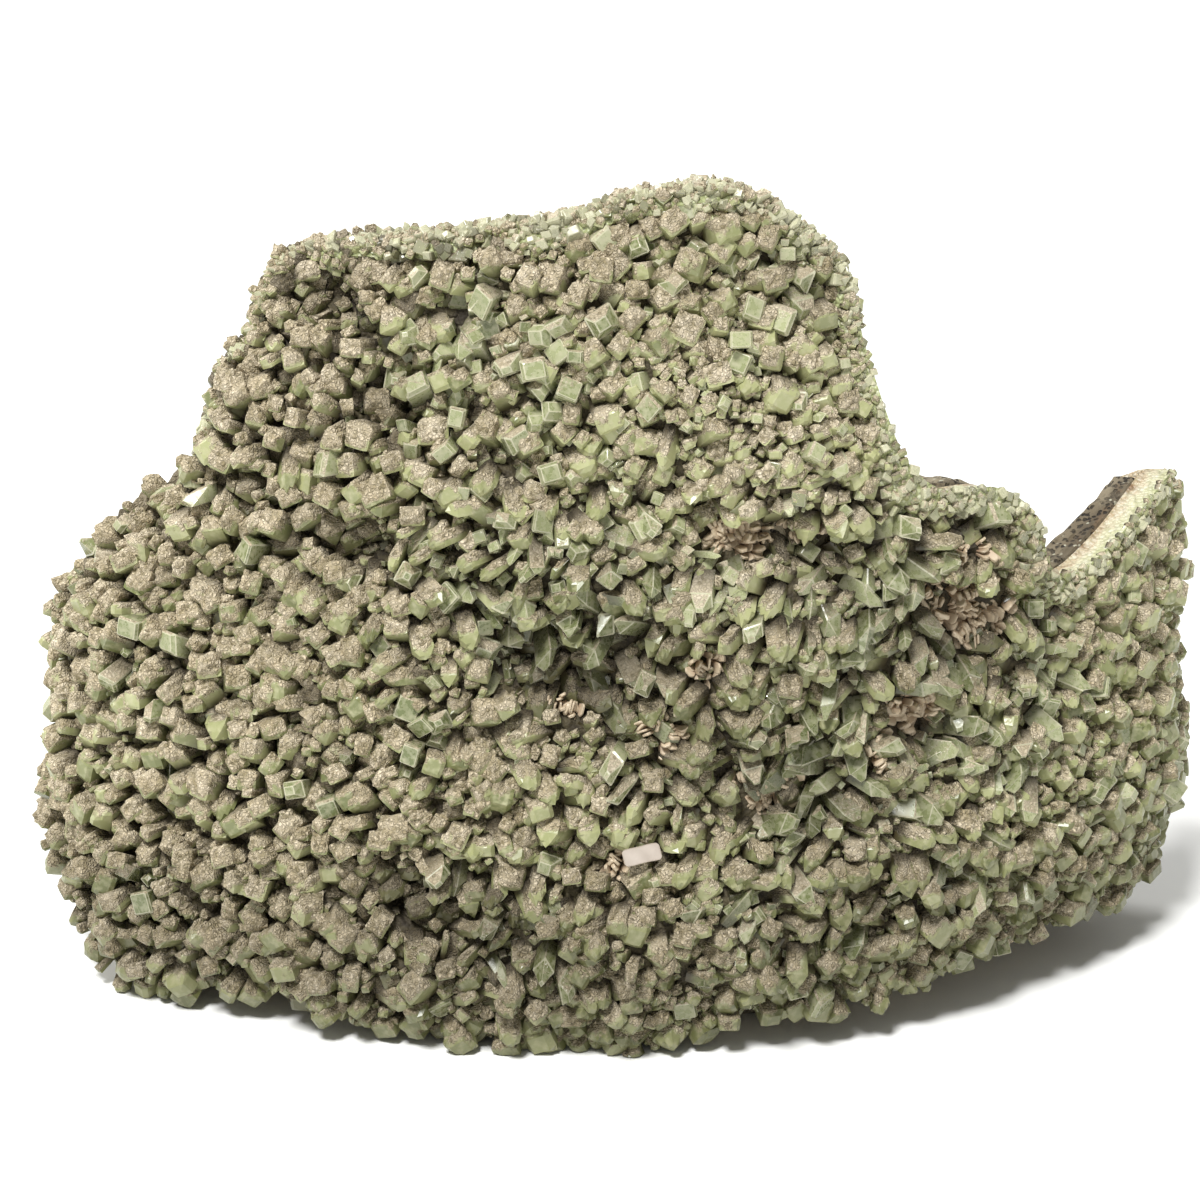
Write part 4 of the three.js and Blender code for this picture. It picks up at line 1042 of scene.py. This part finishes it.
def blades(s, z, half_length, half_width, count, size):
    """The points of a sheaf: thin blades that fan out of one root, widening to a blunt arrow tip."""
    centre = place(np.array([s]), np.array([z]))
    along, up, out = (v[0] for v in centre[1:])
    _, far = inside(np.array([[s, z]], float))
    root = under(s, z, floor_depth(np.array(float(s)), np.array(float(z)), far[0]) + 3.0)
    # a sheaf: fans of four blades each, most of them in two bundles back to back
    in_fan = 4
    fans = math.ceil(count / in_fan)
    fan = np.arange(count) // in_fan
    rank = (np.arange(count) % in_fan - (in_fan - 1) / 2)[:, None]
    spin = (dice.uniform(0, math.pi) + dice.choice([0, math.pi], fans) + dice.normal(0, 0.75, fans))[fan]
    reach = np.sqrt(dice.uniform(0, 1, fans))[fan]
    at = (
        root + along * (np.cos(spin) * reach * half_length * 0.75)[:, None]
        + up * (np.sin(spin) * reach * half_width * 0.75)[:, None]
    )
    lean = reach * dice.uniform(0.3, 1.2, fans)[fan]
    axis = unit(
        out + along * (np.cos(spin) * lean)[:, None] + up * (np.sin(spin) * lean - 0.15)[:, None]
        + dice.standard_normal((fans, 3))[fan] * 0.3
    )
    away = np.where(reach[:, None] > 0.2, out, up) + dice.standard_normal((fans, 3))[fan] * 0.55
    broad = unit(np.cross(axis, away))
    thin = np.cross(axis, broad)
    axis = unit(axis + thin * rank * 0.2 + dice.standard_normal((count, 3)) * 0.12)
    broad = unit(broad + thin * dice.normal(0, 0.22, count)[:, None])
    thin = unit(np.cross(axis, broad))
    long = size * (dice.uniform(0.85, 1.2, fans)[fan] + dice.uniform(-0.2, 0.2, count))
    wide = size * dice.uniform(0.2, 0.4, fans)[fan] * dice.uniform(0.7, 1.15, count)
    thick = size * dice.uniform(0.05, 0.11, count)
    at = at + thin * rank * size * 0.07
    section = np.array([(-1, 0.3), (-0.85, 1), (0.85, 1), (1, -0.3), (0.85, -1), (-0.85, -1)])
    levels = [(0, 0.55, 0.9), (0.5, 0.85, 1), (0.84, 1.0, 1), (0.96, 0.72, 0.9), (1.0, 0.5, 0.6)]
    bend_out = dice.normal(0, 0.03, count)
    rings = []
    for t, spread, thickness in levels:
        middle = at + axis * (long * t)[:, None] + thin * (long * bend_out * t * t)[:, None]
        rings.append(
            middle[:, None] + broad[:, None] * (section[:, 0] * (wide * spread)[:, None])[..., None]
            + thin[:, None] * (section[:, 1] * (thick * thickness)[:, None])[..., None]
        )
    points = np.concatenate(rings, 1)
    faces = tube(4, 6) + [(24, 25, 26, 27), (24, 27, 28, 29), (3, 2, 1, 0), (5, 4, 3, 0)]
    faces = for_each(faces, count, 30)
    tint = np.repeat(dice.uniform(0, 1, count), 30)
    tip = np.tile(np.repeat([0, 0, 0.7, 1, 1], 6), count)
    return points.reshape(-1, 3), faces, tint, tip


def sheaf_piece(name, sheaves):
    points, faces, tints, tips = zip(*(blades(*sheaf) for sheaf in sheaves))
    starts = np.cumsum([0, *map(len, points[:-1])])
    faces = np.vstack([f + start for f, start in zip(faces, starts)])
    piece = mesh_piece(
        name, kept_inside(np.vstack(points)), faces, [peach],
        marks={"tint": np.concatenate(tints), "tip": np.concatenate(tips)},
    )
    return piece


# Basalt


def basalt_piece():
    """The slab, its breaks cut finer: scooped scars that meet in ridges, bubble pits and grit."""
    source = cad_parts["basalt_matrix"]
    slab = bmesh.new()
    slab.from_mesh(source.data)
    slab.transform(source.matrix_world)
    bmesh.ops.remove_doubles(slab, verts=slab.verts, dist=1e-6)
    bmesh.ops.triangulate(slab, faces=slab.faces)
    bmesh.ops.subdivide_edges(slab, edges=slab.edges, cuts=6, use_grid_fill=True)
    bmesh.ops.triangulate(slab, faces=slab.faces)
    feet = {v for v in slab.verts if v.co.z < 0.0004}
    loose = [v for v in slab.verts if v not in feet]
    every_way = {"use_axis_x": True, "use_axis_y": True, "use_axis_z": True}
    for _ in range(3):
        bmesh.ops.smooth_vert(slab, verts=loose, factor=0.5, **every_way)
    slab.normal_update()
    points = np.array([v.co for v in slab.verts]) / MM
    normals = np.array([v.normal for v in slab.verts])
    start = under(*edge.T, np.full(EDGE_COUNT, 24.0))
    nearest = in_batches(lambda p: (((p[:, None, :] - start) ** 2).sum(-1).min(1),), points)[0] ** 0.5
    contact = 1 - smoothstep(nearest + 1.5 * waves(points, 5, 56), 1, 5)
    scooped = 9 * np.abs(waves(points, 34, 57)) + 6 * np.abs(waves(points, 14, 51))
    scooped = scooped + 2 * grains(points, 9, 52)
    scars = np.clip(4.4 + 3 * waves(points, 65, 50) - scooped, -5, 3.5)
    scars = scars * (0.25 + 0.75 * smoothstep(nearest, 16, 42))
    rough = 1.2 * waves(points, 6.5, 53) + 0.8 * waves(points, 3.6, 54)
    pits = -1.6 * smoothstep(grains(points, 6.5, 55), 0.55, 0.8)
    hold = np.array([0.0 if v in feet else 1.0 for v in slab.verts])
    points = points + normals * ((scars + rough + pits) * hold)[:, None]
    points[:, 2] = np.where(hold > 0, np.maximum(points[:, 2], 0.2), points[:, 2])
    faces = np.array([[v.index for v in f.verts] for f in slab.faces])
    slab.free()
    piece = mesh_piece("basalt_slab", points, faces, [rock], marks={"contact": contact})
    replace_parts(piece, "basalt_matrix")
    return piece


# Label


def label_piece():
    """A small card stuck to the crystals, bare, a little curled, with clipped corners."""
    low, high = (np.array(corner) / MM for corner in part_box("paper_label"))
    _, along, up, out = (v[0] for v in place(np.array([LABEL["s"]]), np.array([LABEL["z"]])))
    w, h, corner = LABEL["width"] / 2, LABEL["height"] / 2, LABEL["corner"]
    columns, lines = 24, 12
    u, v = np.meshgrid(np.linspace(-w, w, columns + 1), np.linspace(-h, h, lines + 1))
    u, v = u.ravel(), v.ravel()
    # the corners are clipped: there the card's points move in towards its middle
    spare = np.maximum(np.abs(u) + np.abs(v) - (w + h - corner), 0)
    u, v = u - np.sign(u) * spare / 2, v - np.sign(v) * spare / 2
    curl = 0.9 * (u / w) ** 2 * smoothstep(u, -w, w) + 0.25 * np.sin(u * 0.7 + v * 0.5)
    turn = math.radians(LABEL["turn"])
    right = along * math.cos(turn) + up * math.sin(turn)
    above = up * math.cos(turn) - along * math.sin(turn)
    middle = (low + high) / 2 + out * 0.5
    front = middle + right * u[:, None] + above * v[:, None] + out * curl[:, None]
    count = len(front)
    points = np.vstack([front, front - out * LABEL["thickness"]])
    faces, border = sheet(lines, columns)
    faces = np.stack([faces, faces[:, ::-1] + count], 1).reshape(-1, 4)
    faces = np.vstack([faces, band(border, border + count)])
    from_edge = np.minimum(w - np.abs(u), h - np.abs(v))
    worn = np.tile(1 - smoothstep(from_edge, 0, 0.7), 2)
    piece = mesh_piece("label_card", points, faces, [paper], marks={"worn": worn})
    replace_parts(piece, "paper_label")
    return piece


# The whole cluster

crust()
for number, (title, (cs, cz, length, width)) in enumerate(STILBITE.items()):
    sheaf = [(cs, cz, length, width, 46, 11)]
    sheaf += [
        (cs + length * 0.6 * math.cos(a), cz + width * 0.6 * math.sin(a), length * 0.5, width * 0.6, 26, 9)
        for a in (0.4 + number, 2.4 + number, 4.5 + number)
    ]
    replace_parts(sheaf_piece(title + "_blades", sheaf), title)
sheaf_piece("stilbite_sprays", [(s, z, length, width, 30, 8.5) for s, z, length, width in SPRAYS])
basalt_piece()
label_piece()


# Floor, light and camera


def studio():
    floor_mesh = bpy.data.meshes.new("floor")
    floor_mesh.from_pydata([(-6, -6, 0), (6, -6, 0), (6, 6, 0), (-6, 6, 0)], [], [(0, 1, 2, 3)])
    floor = bpy.data.objects.new("floor", floor_mesh)
    bpy.context.scene.collection.objects.link(floor)
    pale = {"Base Color": linear("#F4F4F2"), "Roughness": 0.9}
    floor_mesh.materials.append(new_material("studio_floor", lambda add, where: (pale, {})))
    world = bpy.data.worlds.new("studio")
    world.use_nodes = True
    sky = world.node_tree.nodes["Background"]
    sky.inputs["Color"].default_value = linear("#FBFBF8")
    sky.inputs["Strength"].default_value = 0.3
    bpy.context.scene.world = world
    # one wide soft light from overhead, a little in front and to the left, and a weak one from behind on the
    # left: strength, softness in degrees, place and aim
    for name, energy, softness, place_of, aim in (
        ("overhead", 4.0, 16, (-0.5, -0.9, 2.0), (0.24, 0.42, -0.92)),
        ("behind", 1.6, 14, (-1.6, 1.0, 1.4), (0.72, -0.42, -0.55)),
    ):
        lamp = bpy.data.lights.new(name, "SUN")
        lamp.energy, lamp.angle = energy, math.radians(softness)
        light = bpy.data.objects.new(name, lamp)
        light.location = place_of
        light.rotation_euler = Vector(aim).to_track_quat("-Z", "Y").to_euler()
        bpy.context.scene.collection.objects.link(light)
    bpy.context.scene.view_settings.view_transform = "Standard"


def photo_camera():
    """Looks along +Y from 20 degrees above the horizon, from 1.5 m away."""
    target = Vector((-0.0099, -0.0376, 0.1887))
    lens = bpy.data.cameras.new("camera")
    lens.sensor_width = 36
    lens.lens = 107.14
    lens.clip_end = 50
    camera = bpy.data.objects.new("camera", lens)
    tilt = math.radians(20)
    camera.location = target + Vector((0, -1.5 * math.cos(tilt), 1.5 * math.sin(tilt)))
    camera.rotation_euler = (target - camera.location).to_track_quat("-Z", "Y").to_euler()
    bpy.context.scene.collection.objects.link(camera)
    bpy.context.scene.camera = camera


studio()
photo_camera()
